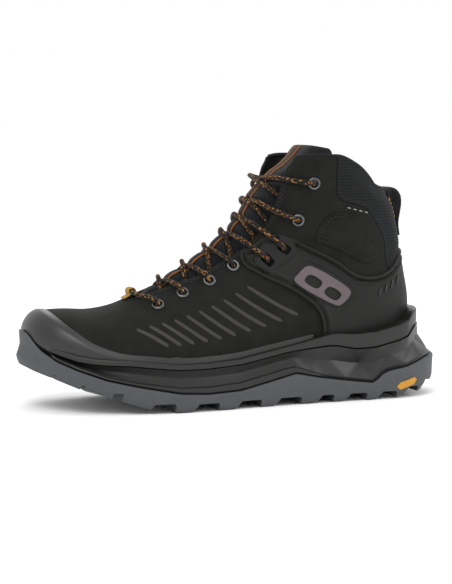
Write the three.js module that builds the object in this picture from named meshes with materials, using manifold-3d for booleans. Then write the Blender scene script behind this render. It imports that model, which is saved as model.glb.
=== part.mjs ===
// A left mid-height hiking boot: lugged outsole, midsole, lasted upper, laced tongue and heel pull loop.
// Millimetres. +Z up, toe towards -X, outer (lateral) side towards -Y. The origin is on the ground,
// under the middle of the boot.
import * as THREE from "three";
import { mergeVertices } from "three/addons/utils/BufferGeometryUtils.js";
import Module from "manifold-3d";

const wasm = await Module();
wasm.setup();

// Driving dimensions
const bootLength = 307;
const bootWidth = 107;
const shaftHeight = 170;
const fitGap = 0.3;
const leatherThickness = 2.0;
const stiffenerThickness = 1.0;
const liningThickness = 1.2;
const overlayThickness = 2.0;
const patchThickness = 1.0;
const emblemThickness = 0.5;
const footbedThickness = 5.0;
const footbedSideClearance = 1.4;
const lugDepth = 5.2;
const outsoleWeb = 2.6;
const outsoleWall = 4.5;
const grooveWidth = 12;
const laceRadius = 1.65;
const eyeletHoleRadius = 2.8;
const eyeletWall = 0.6;
const eyeletFlange = 4.3;
const eyeletRim = 1.0;
const eyeletSeat = 0.6;
const slotLength = 8;
const slotWidth = 5.8;
const tongueThickness = 3.4;
const tongueOverlap = 9;
const tapeHalfWidth = 5;
const tapeThickness = 0.6;
const tongueFlexDegrees = 14;
const loopWidth = 20;
const loopThickness = 2;
const shankHalfWidth = 11;
const shankLength = 125;
const agletLength = 22;
const agletRadius = 1.5;
const trimRadius = 0.9;

// Layer depths along the skin's outward normal. The outside of the leather is at depth 0.
const leatherIn = -leatherThickness;
const stiffenerOut = leatherIn - fitGap;
const stiffenerIn = stiffenerOut - stiffenerThickness;
const liningOut = stiffenerIn - fitGap;
const liningIn = liningOut - liningThickness;
const overlayOut = fitGap + overlayThickness;
const patchOut = fitGap + patchThickness;
const emblemIn = overlayOut + fitGap;
const emblemOut = emblemIn + emblemThickness;
const upperClearance = overlayOut + fitGap;
const tapeOut = -fitGap - laceRadius - 0.45;
const tapeSeat = 0.6;
const tongueOut = tapeOut - tapeThickness - tapeSeat;
const laceInside = leatherIn - 1.55 - laceRadius;
const tongueUnderFlap = laceInside - laceRadius - 0.4;

const scaleX = bootLength / 307;
const scaleY = bootWidth / 107;
const scaleZ = shaftHeight / 170;
const reach = 400;

// The upper's skin is a run of slices that fan from upright at the toe to level at the collar.
// backX, backZ, frontX, frontZ, centreY, halfWidth, share of depth at the widest place, roundness low, high
const slices = [
  [-145.3, 45, -145.3, 50, 6, 5, 0.5, 2, 2],
  [-144.6, 41, -144.6, 55.5, 6, 11, 0.48, 2.1, 2],
  [-141.9, 37, -141.9, 60.8, 6, 19, 0.44, 2.2, 2.05],
  [-137.4, 34, -137.4, 64.5, 5.5, 26, 0.4, 2.4, 2.1],
  [-130, 31, -130, 66.4, 4.5, 33, 0.36, 2.7, 2.1],
  [-118, 27.5, -118, 66.8, 3, 39, 0.33, 3, 2.05],
  [-102, 24, -102, 66.4, 1, 43, 0.31, 3.2, 1.95],
  [-86, 21, -86, 69.5, -1, 45.5, 0.3, 3.3, 1.8],
  [-70, 19, -70, 76.5, -2.5, 46.5, 0.3, 3.3, 1.65],
  [-53, 18, -55, 84, -3.5, 46, 0.29, 3.3, 1.55],
  [-34, 18, -40, 92.5, -3.5, 44, 0.28, 3.2, 1.5],
  [-12, 19.5, -26, 101.5, -3.5, 40.5, 0.27, 3.1, 1.5],
  [13, 22, -14, 110.5, -3, 37.5, 0.27, 3, 1.55],
  [42, 25, -4, 119, -2.5, 35.5, 0.28, 2.9, 1.65],
  [74, 28, 4, 127, -1.5, 34.5, 0.31, 2.8, 1.8],
  [104, 30, 9.5, 134, -0.5, 33.8, 0.36, 2.6, 2],
  [125.5, 36, 13, 140, 0, 33.4, 0.41, 2.3, 2.2],
  [132, 52, 15.5, 145, 0, 33.4, 0.45, 2.1, 2.4],
  [132.4, 68, 17.5, 149.5, 0, 33.6, 0.47, 2.1, 2.5],
  [129.2, 86, 19.5, 154, 0, 34, 0.49, 2.1, 2.6],
  [126, 102, 21.5, 158.5, 0, 34.5, 0.5, 2.1, 2.6],
  [123.2, 118, 23.5, 163, 0, 35, 0.5, 2.1, 2.6],
  [118.6, 134, 26, 168, 0, 35.5, 0.5, 2.1, 2.6],
  [112.3, 149, 28.5, 174, 0, 36, 0.5, 2.1, 2.6],
  [105, 164, 31, 181, 0, 36.5, 0.5, 2.1, 2.6],
  [97, 179, 33.5, 188, 0, 37, 0.5, 2.1, 2.6],
];
const lastSlice = slices.length - 1;
// The solids take these slices only, so that their facets stay few.
const rows = [0, 1, 2, 3, 4, 5, 7, 9, 11, 13, 14, 15, 16, 17, 19, 21, 23, 25];
const stepsAround = 22;
const fullTurn = 2 * Math.PI;

const outlineStart = [-152.5, 5];
const lateralOutline = [
  [-148, -11], [-138, -26], [-124, -39.5], [-104, -48.5], [-80, -54], [-52, -56], [-24, -53.5],
  [6, -49], [36, -45.5], [66, -43.5], [96, -42.5], [122, -39.5], [139.5, -30], [150.2, -16],
];
const medialOutline = [
  [154.7, 0], [150.2, 16], [139.5, 29], [122, 38], [96, 40.5], [66, 40], [36, 40.5], [6, 42.5],
  [-24, 46], [-52, 49.5], [-80, 51], [-104, 49.5], [-124, 45.5], [-138, 35.5], [-148, 21],
];
const groundLine = [
  [-153, 34.8], [-151, 31.4], [-149.5, 29.7], [-144, 26.7], [-137, 23.9], [-119, 16.3], [-103, 11.9], [-91, 7.7], [-78, 3.4],
  [-65, 0.5], [-55, 0], [105, 0], [118, 1.5], [130, 3.5], [142, 6], [150, 10], [154, 14],
];
const outsoleTopLine = [
  [-152, 54.6], [-149, 54], [-147, 51.3], [-144.5, 46], [-141, 41], [-133, 34.4], [-122, 29.2], [-104, 22.6], [-85, 18.2],
  [-68, 14.9], [-55, 12.4], [-34, 11.1], [-10, 12.1], [11, 16.4], [32, 21.1], [50, 17.5],
  [75, 13.8], [91, 11.8], [95, 13.8], [99, 17.3], [104, 19.6], [119, 21.8], [128, 24.3], [135, 26.4], [145, 27.6],
  [155, 27.8],
];
const lipLine = [
  [-145, 50], [-136, 44.5], [-130, 42], [-121, 39], [-111, 37.3], [-100, 36.5], [-88, 36],
  [-75, 34.5], [-55, 32.4], [-35, 32.4], [-10, 33.8], [11, 37.5], [37, 42.4], [57, 46.9],
  [64, 47.6], [78, 46.5], [94, 47.4], [105, 49.6], [113, 51.2], [121.5, 54], [126.5, 58.6], [130, 60.8],
  [138, 61.4],
];
const lipInsetLine = [[-153, 1.5], [66, 1.5], [96, 2], [122, 4], [139, 9.6], [150, 12.8], [155, 13.6]];
const waistInsetLine = [[-153, 3.4], [96, 3.6], [122, 4.8], [139, 8], [150, 10.6], [155, 11.6]];
const shoulderInsetLine = [[-153, 1.6], [118, 1.6], [139, 3.2], [155, 4.2]];
const toeInsetLine = [[-153, 3], [-146, 1.2], [-132, 0]];
const cupFront = -136;
const lugGaps = [
  [-77, -58], [-46, -26.5], [-14, 5.5], [16, 36.4], [48.2, 61.5], [70, 87], [94.7, 110.5],
  [116.2, 129], [132.5, 147],
];
const toeNotches = [[-137, -132.5, 3], [-121, -116.5, 3.5], [-101, -93, 4.5]];

// Side-view outlines, as [x, z]
const skinBottom = [
  [-150, 44], [-140, 34], [-131, 31], [-118, 27.5], [-102, 24], [-86, 21], [-70, 19], [-53, 18],
  [-34, 18], [-12, 19.5], [13, 22], [42, 25], [74, 28], [104, 30], [116, 32], [126, 36], [136, 44],
];
const collarLine = [
  [-reach, 163], [30.5, 163], [34, 168], [38, 169.7], [66, 169.5], [75, 166.4], [85.4, 161],
  [93, 154.6], [97.6, 149.5], [115, 146], [reach, 140],
];
const vampSeam = [
  [-20, 124], [-2, 108], [6, 101], [14, 92.5], [28, 84], [43, 77], [54, 68], [60, 58], [62, 40], [62, 0],
];
const textileSeam = [
  [67, 200], [66.5, 145], [68.5, 140.5], [89.5, 133], [99, 122], [105, 111], [106, 99],
  [108, 92], [112, 89.5], [118, 93.5], [128, 99], [160, 103],
];
const capEdge = [
  [-136, 78], [-133.5, 69], [-127.7, 61], [-120, 54], [-111, 47.4], [-100, 42.6], [-88, 39.6],
  [-75, 38.4], [-55, 36.4], [-35, 36.4], [-10, 37.8], [11, 41.3], [30, 44.5], [48, 47.5],
];
const cageEdge = [
  [-1, 99], [0.5, 104.5], [8, 108], [15, 113], [21, 115.8], [28, 116.2], [33.6, 115], [41, 110.8],
  [53, 105], [68, 97.2], [77, 90.7], [83, 87.5], [90.5, 86.2], [98, 86.5], [105, 88.5],
  [113.7, 94], [119.8, 100.5], [126, 104.5], [150, 108], [150, 36], [56, 36], [55.3, 47],
  [53.7, 58.4], [49.3, 65.5], [40.3, 72.7], [25.6, 81.3], [15.4, 85.7], [8, 90], [1, 94.5],
];
const anklePatch = [
  [52, 112], [53, 119], [57, 125], [64, 130.5], [74, 130], [86, 122], [97, 111], [100, 103],
  [92, 95], [82, 98], [72, 103], [62, 107.5],
];
const emblemPanel = [[34.5, 84.5], [37.5, 88.5], [44.5, 94], [47.5, 94], [76, 76.5], [76, 73.5], [68, 66.5], [65, 66.5]];
const emblemWindows = [
  [[42, 84], [46, 88], [55, 82.5], [51, 78.5]],
  [[56, 75.5], [60, 79.5], [69, 74], [65, 70]],
];
const badgeOutline = [[110, 8], [112.5, 5.8], [125, 9], [127.5, 12], [125, 14], [112.5, 10.8]];

// Lace holes: slice and turn around it, first at the toe end. The kind says what the hole is lined with.
const laceHoles = [
  { slice: 8.54, turn: 2.51, kind: "eyelet" },
  { slice: 9.71, turn: 2.52, kind: "eyelet" },
  { slice: 10.96, turn: 2.49, kind: "eyelet" },
  { slice: 12.2, turn: 2.48, kind: "eyelet" },
  { slice: 13.63, turn: 2.29, kind: "slot" },
  { slice: 14.68, turn: 2.25, kind: "slot" },
  { slice: 17.03, turn: 2.17, kind: "eyelet" },
  { slice: 21.01, turn: 1.96, kind: "eyelet" },
];
const throatEdge = [
  [7.3, 3.06], [7.6, 3], [8, 2.87], [9.75, 2.73], [10.45, 2.66], [12.8, 2.59], [15, 2.56], [16.5, 2.54],
  [19, 2.49], [21.5, 2.48], [22.3, 2.41], [25, 2.3],
];
const throatStart = 7.6;
const tongueRoot = 7.2;
const tongueTop = 24.25;
const hingeSlice = 14.5;
const hingeDepth = 15;
const leanLine = [[7, 0], [16.5, 0], [19, 4], [21, 9], [23, 17], [25, 24]];

// Interpolates a table of [x, value] pairs.
function along(table, x) {
  if (x <= table[0][0]) return table[0][1];
  for (let i = 1; i < table.length; i += 1) {
    const [x0, v0] = table[i - 1];
    const [x1, v1] = table[i];
    if (x <= x1) return v0 + ((v1 - v0) * (x - x0)) / (x1 - x0);
  }
  return table[table.length - 1][1];
}

// Height of a side-view line at a place along the boot, at the boot's own scale.
function lineHeight(table, x) {
  return along(table, x / scaleX) * scaleZ;
}

function smoothStep(low, high, x) {
  const t = Math.min(1, Math.max(0, (x - low) / (high - low)));
  return t * t * (3 - 2 * t);
}

// Catmull-Rom blend of the slices' numbers.
function sliceAt(station) {
  const s = Math.min(Math.max(station, 0), lastSlice);
  const i = Math.min(Math.floor(s), lastSlice - 1);
  const f = s - i;
  const a = slices[Math.max(i - 1, 0)];
  const b = slices[i];
  const c = slices[i + 1];
  const d = slices[Math.min(i + 2, lastSlice)];
  return b.map((v, k) => {
    const linear = (c[k] - a[k]) * f;
    const square = (2 * a[k] - 5 * v + 4 * c[k] - d[k]) * f * f;
    const cube = (3 * v - a[k] - 3 * c[k] + d[k]) * f * f * f;
    return 0.5 * (2 * v + linear + square + cube);
  });
}

// A point of the skin. Turn 0 is the sole or heel side, half a turn is the ridge, lateral comes first.
function skinPoint(station, turn) {
  const [backX, backZ, frontX, frontZ, centreY, halfWidth, widest, lowRound, highRound] = sliceAt(station);
  const cosine = Math.cos(turn);
  const sine = Math.sin(turn);
  const round = cosine > 0 ? lowRound : highRound;
  const bulge = Math.abs(cosine) ** (2 / round);
  const share = cosine > 0 ? widest * (1 - bulge) : widest + (1 - widest) * bulge;
  const side = halfWidth * Math.abs(sine) ** (2 / round);
  const y = centreY - Math.sign(sine) * side;
  const x = backX + (frontX - backX) * share;
  const z = backZ + (frontZ - backZ) * share;
  return new THREE.Vector3(x * scaleX, y * scaleY, z * scaleZ);
}

function skinNormal(station, turn) {
  const step = 0.02;
  const low = skinPoint(Math.max(station - step, 0), turn);
  const high = skinPoint(Math.min(station + step, lastSlice), turn);
  const before = skinPoint(station, turn - step);
  const after = skinPoint(station, turn + step);
  const normal = high.sub(low).cross(after.sub(before)).normalize();
  const [backX, backZ, frontX, frontZ, centreY] = sliceAt(station);
  const middle = new THREE.Vector3(
    ((backX + frontX) / 2) * scaleX,
    centreY * scaleY,
    ((backZ + frontZ) / 2) * scaleZ,
  );
  const outward = skinPoint(station, turn).sub(middle);
  return outward.dot(normal) < 0 ? normal.negate() : normal;
}

function skinAt(station, turn, depth) {
  return skinPoint(station, turn).addScaledVector(skinNormal(station, turn), depth);
}

// The same place on the faceted skin that the solids have, so that hardware seats on their facets.
function facetAt(station, turn, depth) {
  const row = rows.findLastIndex((each) => each <= station);
  const width = fullTurn / stepsAround;
  const column = Math.floor(turn / width);
  const up = (station - rows[row]) / (rows[row + 1] - rows[row]);
  const over = turn / width - column;
  const corner = (i, j) => skinAt(rows[row + i], (column + j) * width, depth);
  const start = corner(0, 0);
  const far = corner(1, 1);
  const point = start.clone().multiplyScalar(1 - Math.max(up, over));
  point.addScaledVector(far, Math.min(up, over));
  return over > up
    ? point.addScaledVector(corner(0, 1), over - up)
    : point.addScaledVector(corner(1, 0), up - over);
}

function facetNormal(station, turn) {
  const ahead = facetAt(station + 0.2, turn, 0).sub(facetAt(station - 0.2, turn, 0));
  const around = facetAt(station, turn + 0.07, 0).sub(facetAt(station, turn - 0.07, 0));
  const normal = ahead.cross(around).normalize();
  return normal.dot(skinNormal(station, turn)) < 0 ? normal.negate() : normal;
}

// The turn that lies a distance along the slice from another, towards the sole.
function turnBeyond(station, turn, distance) {
  const step = 0.01;
  let left = distance;
  let at = turn;
  let place = skinPoint(station, at);
  while (left > 0 && at > 0.2) {
    const next = skinPoint(station, at - step);
    left -= next.distanceTo(place);
    place = next;
    at -= step;
  }
  return at;
}

// Distance along the slice from the ridge to a turn on the lateral side.
function girthOf(station, turn) {
  const steps = 24;
  let sum = 0;
  let place = skinPoint(station, Math.PI);
  for (let i = 1; i <= steps; i += 1) {
    const next = skinPoint(station, Math.PI - ((Math.PI - turn) * i) / steps);
    sum += next.distanceTo(place);
    place = next;
  }
  return sum;
}

// Geometry to solid and back
function solidFrom(geometry) {
  geometry.deleteAttribute("normal");
  geometry.deleteAttribute("uv");
  const merged = mergeVertices(geometry, 1e-4);
  const vertProperties = new Float32Array(merged.attributes.position.array);
  const triVerts = new Uint32Array(merged.index.array);
  const solid = new wasm.Manifold(new wasm.Mesh({ numProp: 3, vertProperties, triVerts }));
  if (solid.volume() > 0) return solid;
  const turned = triVerts.slice();
  for (let i = 0; i < turned.length; i += 3) {
    turned[i + 1] = triVerts[i + 2];
    turned[i + 2] = triVerts[i + 1];
  }
  return new wasm.Manifold(new wasm.Mesh({ numProp: 3, vertProperties, triVerts: turned }));
}

// A closed skin over a run of rings. Fan caps suit a round ring, ladder caps a flat curved band.
function loft(rings, ladder = false) {
  const count = rings[0].length;
  const positions = rings.flat().flatMap((p) => [p.x, p.y, p.z]);
  const faces = [];
  for (let i = 0; i < rings.length - 1; i += 1) {
    for (let j = 0; j < count; j += 1) {
      const a = i * count + j;
      const b = i * count + ((j + 1) % count);
      faces.push(a, b, b + count, a, b + count, a + count);
    }
  }
  [0, rings.length - 1].forEach((end) => {
    const base = end * count;
    const facing = end === 0 ? 1 : -1;
    const add = (a, b, c) => faces.push(...(facing > 0 ? [a, c, b] : [a, b, c]));
    if (ladder) {
      for (let j = 0; j < count / 2 - 1; j += 1) {
        const far = count - 1 - j;
        add(base + j, base + j + 1, base + far - 1);
        add(base + j, base + far - 1, base + far);
      }
      return;
    }
    const middle = rings[end].reduce((sum, p) => sum.add(p), new THREE.Vector3()).divideScalar(count);
    const hub = positions.length / 3;
    positions.push(middle.x, middle.y, middle.z);
    for (let j = 0; j < count; j += 1) add(base + j, base + ((j + 1) % count), hub);
  });
  const geometry = new THREE.BufferGeometry();
  geometry.setAttribute("position", new THREE.BufferAttribute(new Float32Array(positions), 3));
  geometry.setIndex(faces);
  return solidFrom(geometry);
}

function shapeOf(points) {
  return new THREE.Shape(points.map(([u, v]) => new THREE.Vector2(u, v)));
}

// A side-view outline, [x, z] at nominal size, pushed from one y to another.
function sidePrism(points, lowY = -reach, highY = reach) {
  const scaled = points.map(([x, z]) => [x * scaleX, z * scaleZ]);
  const geometry = new THREE.ExtrudeGeometry(shapeOf(scaled), { depth: highY - lowY, bevelEnabled: false });
  const axes = new THREE.Matrix4().makeBasis(
    new THREE.Vector3(1, 0, 0),
    new THREE.Vector3(0, 0, 1),
    new THREE.Vector3(0, -1, 0),
  );
  geometry.applyMatrix4(axes);
  geometry.translate(0, highY, 0);
  return solidFrom(geometry);
}

// A plan outline, [x, y] at true size, pushed from one height to another.
function planPrism(points, lowZ, highZ) {
  const geometry = new THREE.ExtrudeGeometry(shapeOf(points), { depth: highZ - lowZ, bevelEnabled: false });
  geometry.translate(0, 0, lowZ);
  return solidFrom(geometry);
}

// A thin cut that follows a side-view line.
function seamCut(points, width, lowY = -reach, highY = reach) {
  const left = [];
  const right = [];
  points.forEach(([x, z], i) => {
    const [x0, z0] = points[Math.max(i - 1, 0)];
    const [x1, z1] = points[Math.min(i + 1, points.length - 1)];
    const length = Math.hypot(x1 - x0, z1 - z0);
    const u = (-(z1 - z0) / length) * (width / 2);
    const v = ((x1 - x0) / length) * (width / 2);
    left.push([x + u, z + v]);
    right.unshift([x - u, z - v]);
  });
  return sidePrism([...left, ...right], lowY, highY);
}

function below(line, rise) {
  const raised = line.map(([x, z]) => [x, z + rise / scaleZ]);
  const first = raised[0];
  const last = raised[raised.length - 1];
  return sidePrism([[-reach, -reach], [-reach, first[1]], ...raised, [reach, last[1]], [reach, -reach]]);
}

function tube(points, radius, sides, steps) {
  const path = new THREE.CatmullRomCurve3(points, false, "centripetal");
  const section = [];
  for (let i = 0; i < sides; i += 1) {
    const angle = (i * fullTurn) / sides;
    section.push([radius * Math.cos(angle), radius * Math.sin(angle)]);
  }
  const options = { steps, extrudePath: path, bevelEnabled: false };
  return solidFrom(new THREE.ExtrudeGeometry(shapeOf(section), options));
}

// Stands a shape made along +Z on the skin at a lace hole, lateral or medial.
function standOn(geometry, hole, side) {
  const turn = side < 0 ? hole.turn : fullTurn - hole.turn;
  const normal = facetNormal(hole.slice, turn);
  const ahead = facetAt(hole.slice + 0.05, turn, 0).sub(facetAt(hole.slice - 0.05, turn, 0));
  const along3 = ahead.addScaledVector(normal, -ahead.dot(normal)).normalize();
  const across = new THREE.Vector3().crossVectors(normal, along3);
  const matrix = new THREE.Matrix4().makeBasis(along3, across, normal);
  matrix.setPosition(facetAt(hole.slice, turn, 0));
  return geometry.applyMatrix4(matrix);
}

function mainBody(solid) {
  const bodies = solid.decompose();
  bodies.sort((a, b) => b.volume() - a.volume());
  return bodies[0];
}

const group = new THREE.Group();
const finishes = {
  rubber: { color: "#5c6063", roughness: 0.75, metalness: 0 },
  foam: { color: "#1d1d1c", roughness: 0.5, metalness: 0 },
  nubuck: { color: "#20231e", roughness: 0.9, metalness: 0 },
  film: { color: "#1a1b1a", roughness: 0.35, metalness: 0 },
  textile: { color: "#141516", roughness: 0.95, metalness: 0 },
  board: { color: "#8a7a62", roughness: 0.9, metalness: 0 },
  liner: { color: "#6f7275", roughness: 0.95, metalness: 0 },
  mesh: { color: "#76706f", roughness: 0.8, metalness: 0 },
  metal: { color: "#3c4042", roughness: 0.35, metalness: 0.9 },
  cord: { color: "#3a2a18", roughness: 0.85, metalness: 0 },
  yellow: { color: "#e8a317", roughness: 0.6, metalness: 0 },
  gold: { color: "#b98a2e", roughness: 0.7, metalness: 0 },
};

function addPiece(name, solid, finish) {
  const made = mainBody(solid).getMesh();
  const geometry = new THREE.BufferGeometry();
  const positions = new Float32Array(made.numVert * 3);
  for (let i = 0; i < made.numVert; i += 1) {
    positions.set(made.vertProperties.subarray(i * made.numProp, i * made.numProp + 3), i * 3);
  }
  geometry.setAttribute("position", new THREE.BufferAttribute(positions, 3));
  geometry.setIndex(new THREE.BufferAttribute(made.triVerts, 1));
  geometry.computeVertexNormals();
  const mesh = new THREE.Mesh(geometry, new THREE.MeshStandardMaterial(finishes[finish]));
  mesh.name = name;
  group.add(mesh);
}

// Solids bounded by the skin at a depth, and the shells between two depths
const skinCache = new Map();
function skinSolid(depth) {
  if (skinCache.has(depth)) return skinCache.get(depth);
  const first = depth > -2.2 ? 0 : depth > -4 ? 1 : 2;
  const rings = [];
  for (const station of rows.filter((each) => each >= first)) {
    const ring = [];
    for (let j = 0; j < stepsAround; j += 1) {
      ring.push(skinAt(station, (j * fullTurn) / stepsAround, depth));
    }
    rings.push(ring);
  }
  const solid = loft(rings);
  skinCache.set(depth, solid);
  return solid;
}

function shell(outer, inner) {
  return skinSolid(outer).subtract(skinSolid(inner));
}

// A curved band across the ridge, between two turns, from one depth to another.
function band({ from, to, step, edge, high, low, across = 8, place = skinAt }) {
  const rings = [];
  const count = Math.ceil((to - from) / step);
  for (let i = 0; i <= count; i += 1) {
    const station = from + ((to - from) * i) / count;
    const start = edge(station);
    const turns = [];
    for (let k = 0; k <= across; k += 1) turns.push(start + ((fullTurn - 2 * start) * k) / across);
    const top = turns.map((turn) => place(station, turn, high(station, turn)));
    const under = turns.map((turn) => place(station, turn, low(station, turn)));
    rings.push([...top, ...under.reverse()]);
  }
  return loft(rings, true);
}

const throatTurn = (station) => along(throatEdge, station);
const holeTurn = (station) => along(laceHoles.map((hole) => [hole.slice, hole.turn]), station);
const tongueTurn = (station) => turnBeyond(station, throatTurn(station), tongueOverlap);
const liningClear = 8;
const liningTurn = (station) => turnBeyond(station, Math.min(holeTurn(station), tongueTurn(station)), liningClear);
const foamTurn = (station) => turnBeyond(station, liningTurn(station), 1);
const constant = (value) => () => value;

const throatCut = band({
  from: throatStart, to: lastSlice, step: 1.1, edge: throatTurn, high: constant(9), low: constant(-9), across: 6,
});
const liningCut = band({
  from: 6.8, to: lastSlice, step: 1.3, edge: liningTurn, high: constant(6), low: constant(-12), across: 6,
});
const foamCut = band({
  from: 6.8, to: lastSlice, step: 1.3, edge: foamTurn, high: constant(6), low: constant(-12), across: 6,
});
const collarKeep = below(collarLine, 0);
const lateralHalf = sidePrism([[-reach, -reach], [reach, -reach], [reach, reach], [-reach, reach]], -reach, -fitGap / 2);
const medialHalf = sidePrism([[-reach, -reach], [reach, -reach], [reach, reach], [-reach, reach]], fitGap / 2, reach);

// Lace holes through the layers
function holeCuts(reachOut) {
  const cuts = [];
  for (const side of [-1, 1]) {
    for (const hole of laceHoles) {
      const isSlot = hole.kind === "slot";
      const half = isSlot ? slotLength / 2 : eyeletHoleRadius + eyeletWall + fitGap;
      const width = isSlot ? slotWidth / 2 : half;
      const outline = [];
      for (let i = 0; i < 12; i += 1) {
        const angle = ((i + 0.5) * fullTurn) / 12;
        const square = isSlot ? 0.45 : 1;
        const u = Math.sign(Math.cos(angle)) * Math.abs(Math.cos(angle)) ** square * half;
        const v = Math.sign(Math.sin(angle)) * Math.abs(Math.sin(angle)) ** square * width;
        outline.push([u, v]);
      }
      const geometry = new THREE.ExtrudeGeometry(shapeOf(outline), { depth: 2 * reachOut, bevelEnabled: false });
      geometry.translate(0, 0, -reachOut);
      cuts.push(solidFrom(standOn(geometry, hole, side)));
    }
  }
  return cuts.reduce((sum, cut) => sum.add(cut));
}
const laceHoleCuts = holeCuts(5);

// Sole outline and its inward offsets
const outlineCurve = new THREE.CatmullRomCurve3(
  [outlineStart, ...lateralOutline, ...medialOutline].map(([x, y]) => new THREE.Vector3(x * scaleX, y * scaleY, 0)),
  true,
  "centripetal",
);
const outlineSteps = 40;
const outlinePoints = outlineCurve.getSpacedPoints(outlineSteps).slice(0, outlineSteps);
const outlineNormals = outlinePoints.map((point, i) => {
  const before = outlinePoints[(i + outlineSteps - 1) % outlineSteps];
  const after = outlinePoints[(i + 1) % outlineSteps];
  const tangent = after.clone().sub(before).normalize();
  return new THREE.Vector3(-tangent.y, tangent.x, 0);
});

function soleRing(inset, height) {
  return outlinePoints.map((point, i) => {
    const distance = typeof inset === "function" ? inset(point.x) : inset;
    const moved = point.clone().addScaledVector(outlineNormals[i], distance);
    moved.z = height(moved.x);
    return moved;
  });
}
const groundAt = (x) => lineHeight(groundLine, x);
const outsoleTopAt = (x) => lineHeight(outsoleTopLine, x);
const lipAt = (x) => lineHeight(lipLine, x);
const lipInset = (x) => along(lipInsetLine, x / scaleX);
const waistInset = (x) => along(waistInsetLine, x / scaleX);
const shoulderInset = (x) => along(shoulderInsetLine, x / scaleX);
const toeInset = (x) => along(toeInsetLine, x / scaleX);
const cupFloorAt = (x) => groundAt(x) + lugDepth + outsoleWeb;

function outsoleBody(grown, rise = 0) {
  const rings = [
    soleRing(2.5 - grown, groundAt),
    soleRing(0.6 - grown, (x) => groundAt(x) + 4),
    soleRing((x) => toeInset(x) - grown, (x) => outsoleTopAt(x) - 1),
    soleRing((x) => toeInset(x) + 0.8 - grown, (x) => outsoleTopAt(x) + rise),
  ];
  return loft(rings, true);
}
const behindToe = (x) => sidePrism([[x, -reach], [reach, -reach], [reach, reach], [x, reach]]);
function cupBody(inset, floorRise, topRise) {
  const rings = [
    soleRing(inset, (x) => cupFloorAt(x) + floorRise),
    soleRing(inset, (x) => outsoleTopAt(x) + topRise),
  ];
  return loft(rings, true);
}
const cup = cupBody(outsoleWall, 0, 30).intersect(behindToe(cupFront));
const lugCuts = [];
for (const [start, end] of lugGaps) {
  const low = along(groundLine, (start + end) / 2);
  const top = low + lugDepth / scaleZ;
  lugCuts.push(sidePrism([[start, low - 9], [start, low], [start + 4.5, top], [end, top], [end, low - 9]]));
}
for (const [start, end, depth] of toeNotches) {
  const low = along(groundLine, start);
  const high = along(groundLine, end);
  lugCuts.push(sidePrism([[start, low - 9], [start, low + depth], [end, high + depth], [end, high - 9]]));
}
const grooveHalf = grooveWidth / 2;
const groove = [[-60, -grooveHalf], [100, -grooveHalf], [108, 0], [100, grooveHalf], [-60, grooveHalf], [-72, 0]];
lugCuts.push(planPrism(groove.map(([x, y]) => [x * scaleX, y]), -9, lugDepth));
const outsole = lugCuts.reduce(
  (solid, cut) => solid.subtract(cut),
  outsoleBody(0).subtract(cup).subtract(skinSolid(upperClearance)),
);
addPiece("outsole", outsole, "rubber");

const badge = outsoleBody(0.9).subtract(outsoleBody(fitGap)).intersect(sidePrism(badgeOutline, -reach, 0));
addPiece("heel_badge", badge, "yellow");

const wallShare = (share) => (x) => outsoleTopAt(x) + (lipAt(x) - outsoleTopAt(x)) * share;
const wallRings = [
  soleRing(1, (x) => outsoleTopAt(x) - 5),
  soleRing(1, outsoleTopAt),
  soleRing(shoulderInset, wallShare(0.22)),
  soleRing(waistInset, wallShare(0.5)),
  soleRing((x) => lipInset(x) + 1.2, wallShare(0.82)),
  soleRing(lipInset, wallShare(0.86)),
  soleRing((x) => lipInset(x) + 0.3, lipAt),
];
const midsoleBlock = loft(wallRings, true)
  .subtract(outsoleBody(1, fitGap))
  .add(cupBody(outsoleWall + fitGap, fitGap, 6))
  .intersect(behindToe(cupFront + 0.5));
const lastedMargin = 8;
const aboveMargin = sidePrism([
  [-reach, reach],
  ...lipLine.map(([x, z]) => [x, z - (lastedMargin + 0.5) / scaleZ]),
  [reach, 62],
  [reach, reach],
]);
const midsole = midsoleBlock
  .subtract(skinSolid(fitGap))
  .subtract(skinSolid(upperClearance).intersect(aboveMargin));
addPiece("midsole", midsole, "foam");

// Lasted upper
const bottomHole = [];
for (let i = 0; i < 20; i += 1) {
  const angle = (i * fullTurn) / 20;
  bottomHole.push([(2 + 116 * Math.cos(angle)) * scaleX, (-1 + 22 * Math.sin(angle)) * scaleY]);
}
const insetHole = (by) => bottomHole.map(([x, y], i) => {
  const angle = (i * fullTurn) / bottomHole.length;
  return [x - by * Math.cos(angle), y - by * Math.sin(angle)];
});
const bottomZone = below(skinBottom, 5);
const leather = shell(0, leatherIn)
  .intersect(collarKeep)
  .subtract(throatCut)
  .subtract(laceHoleCuts)
  .subtract(seamCut(vampSeam, fitGap))
  .subtract(seamCut(textileSeam, fitGap))
  .subtract(planPrism(bottomHole, -reach, reach).intersect(bottomZone));
const vampZone = sidePrism([[-reach, 300], [-20, 300], ...vampSeam, [-reach, 0]]);
const textileZone = sidePrism([...textileSeam, [reach, 103], [reach, 200]]);
const quarters = leather.subtract(vampZone).subtract(textileZone);
addPiece("vamp", leather.intersect(vampZone), "nubuck");
addPiece("quarter_lateral", quarters.intersect(lateralHalf), "nubuck");
addPiece("quarter_medial", quarters.intersect(medialHalf), "nubuck");
addPiece("collar_textile", leather.intersect(textileZone), "textile");

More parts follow.
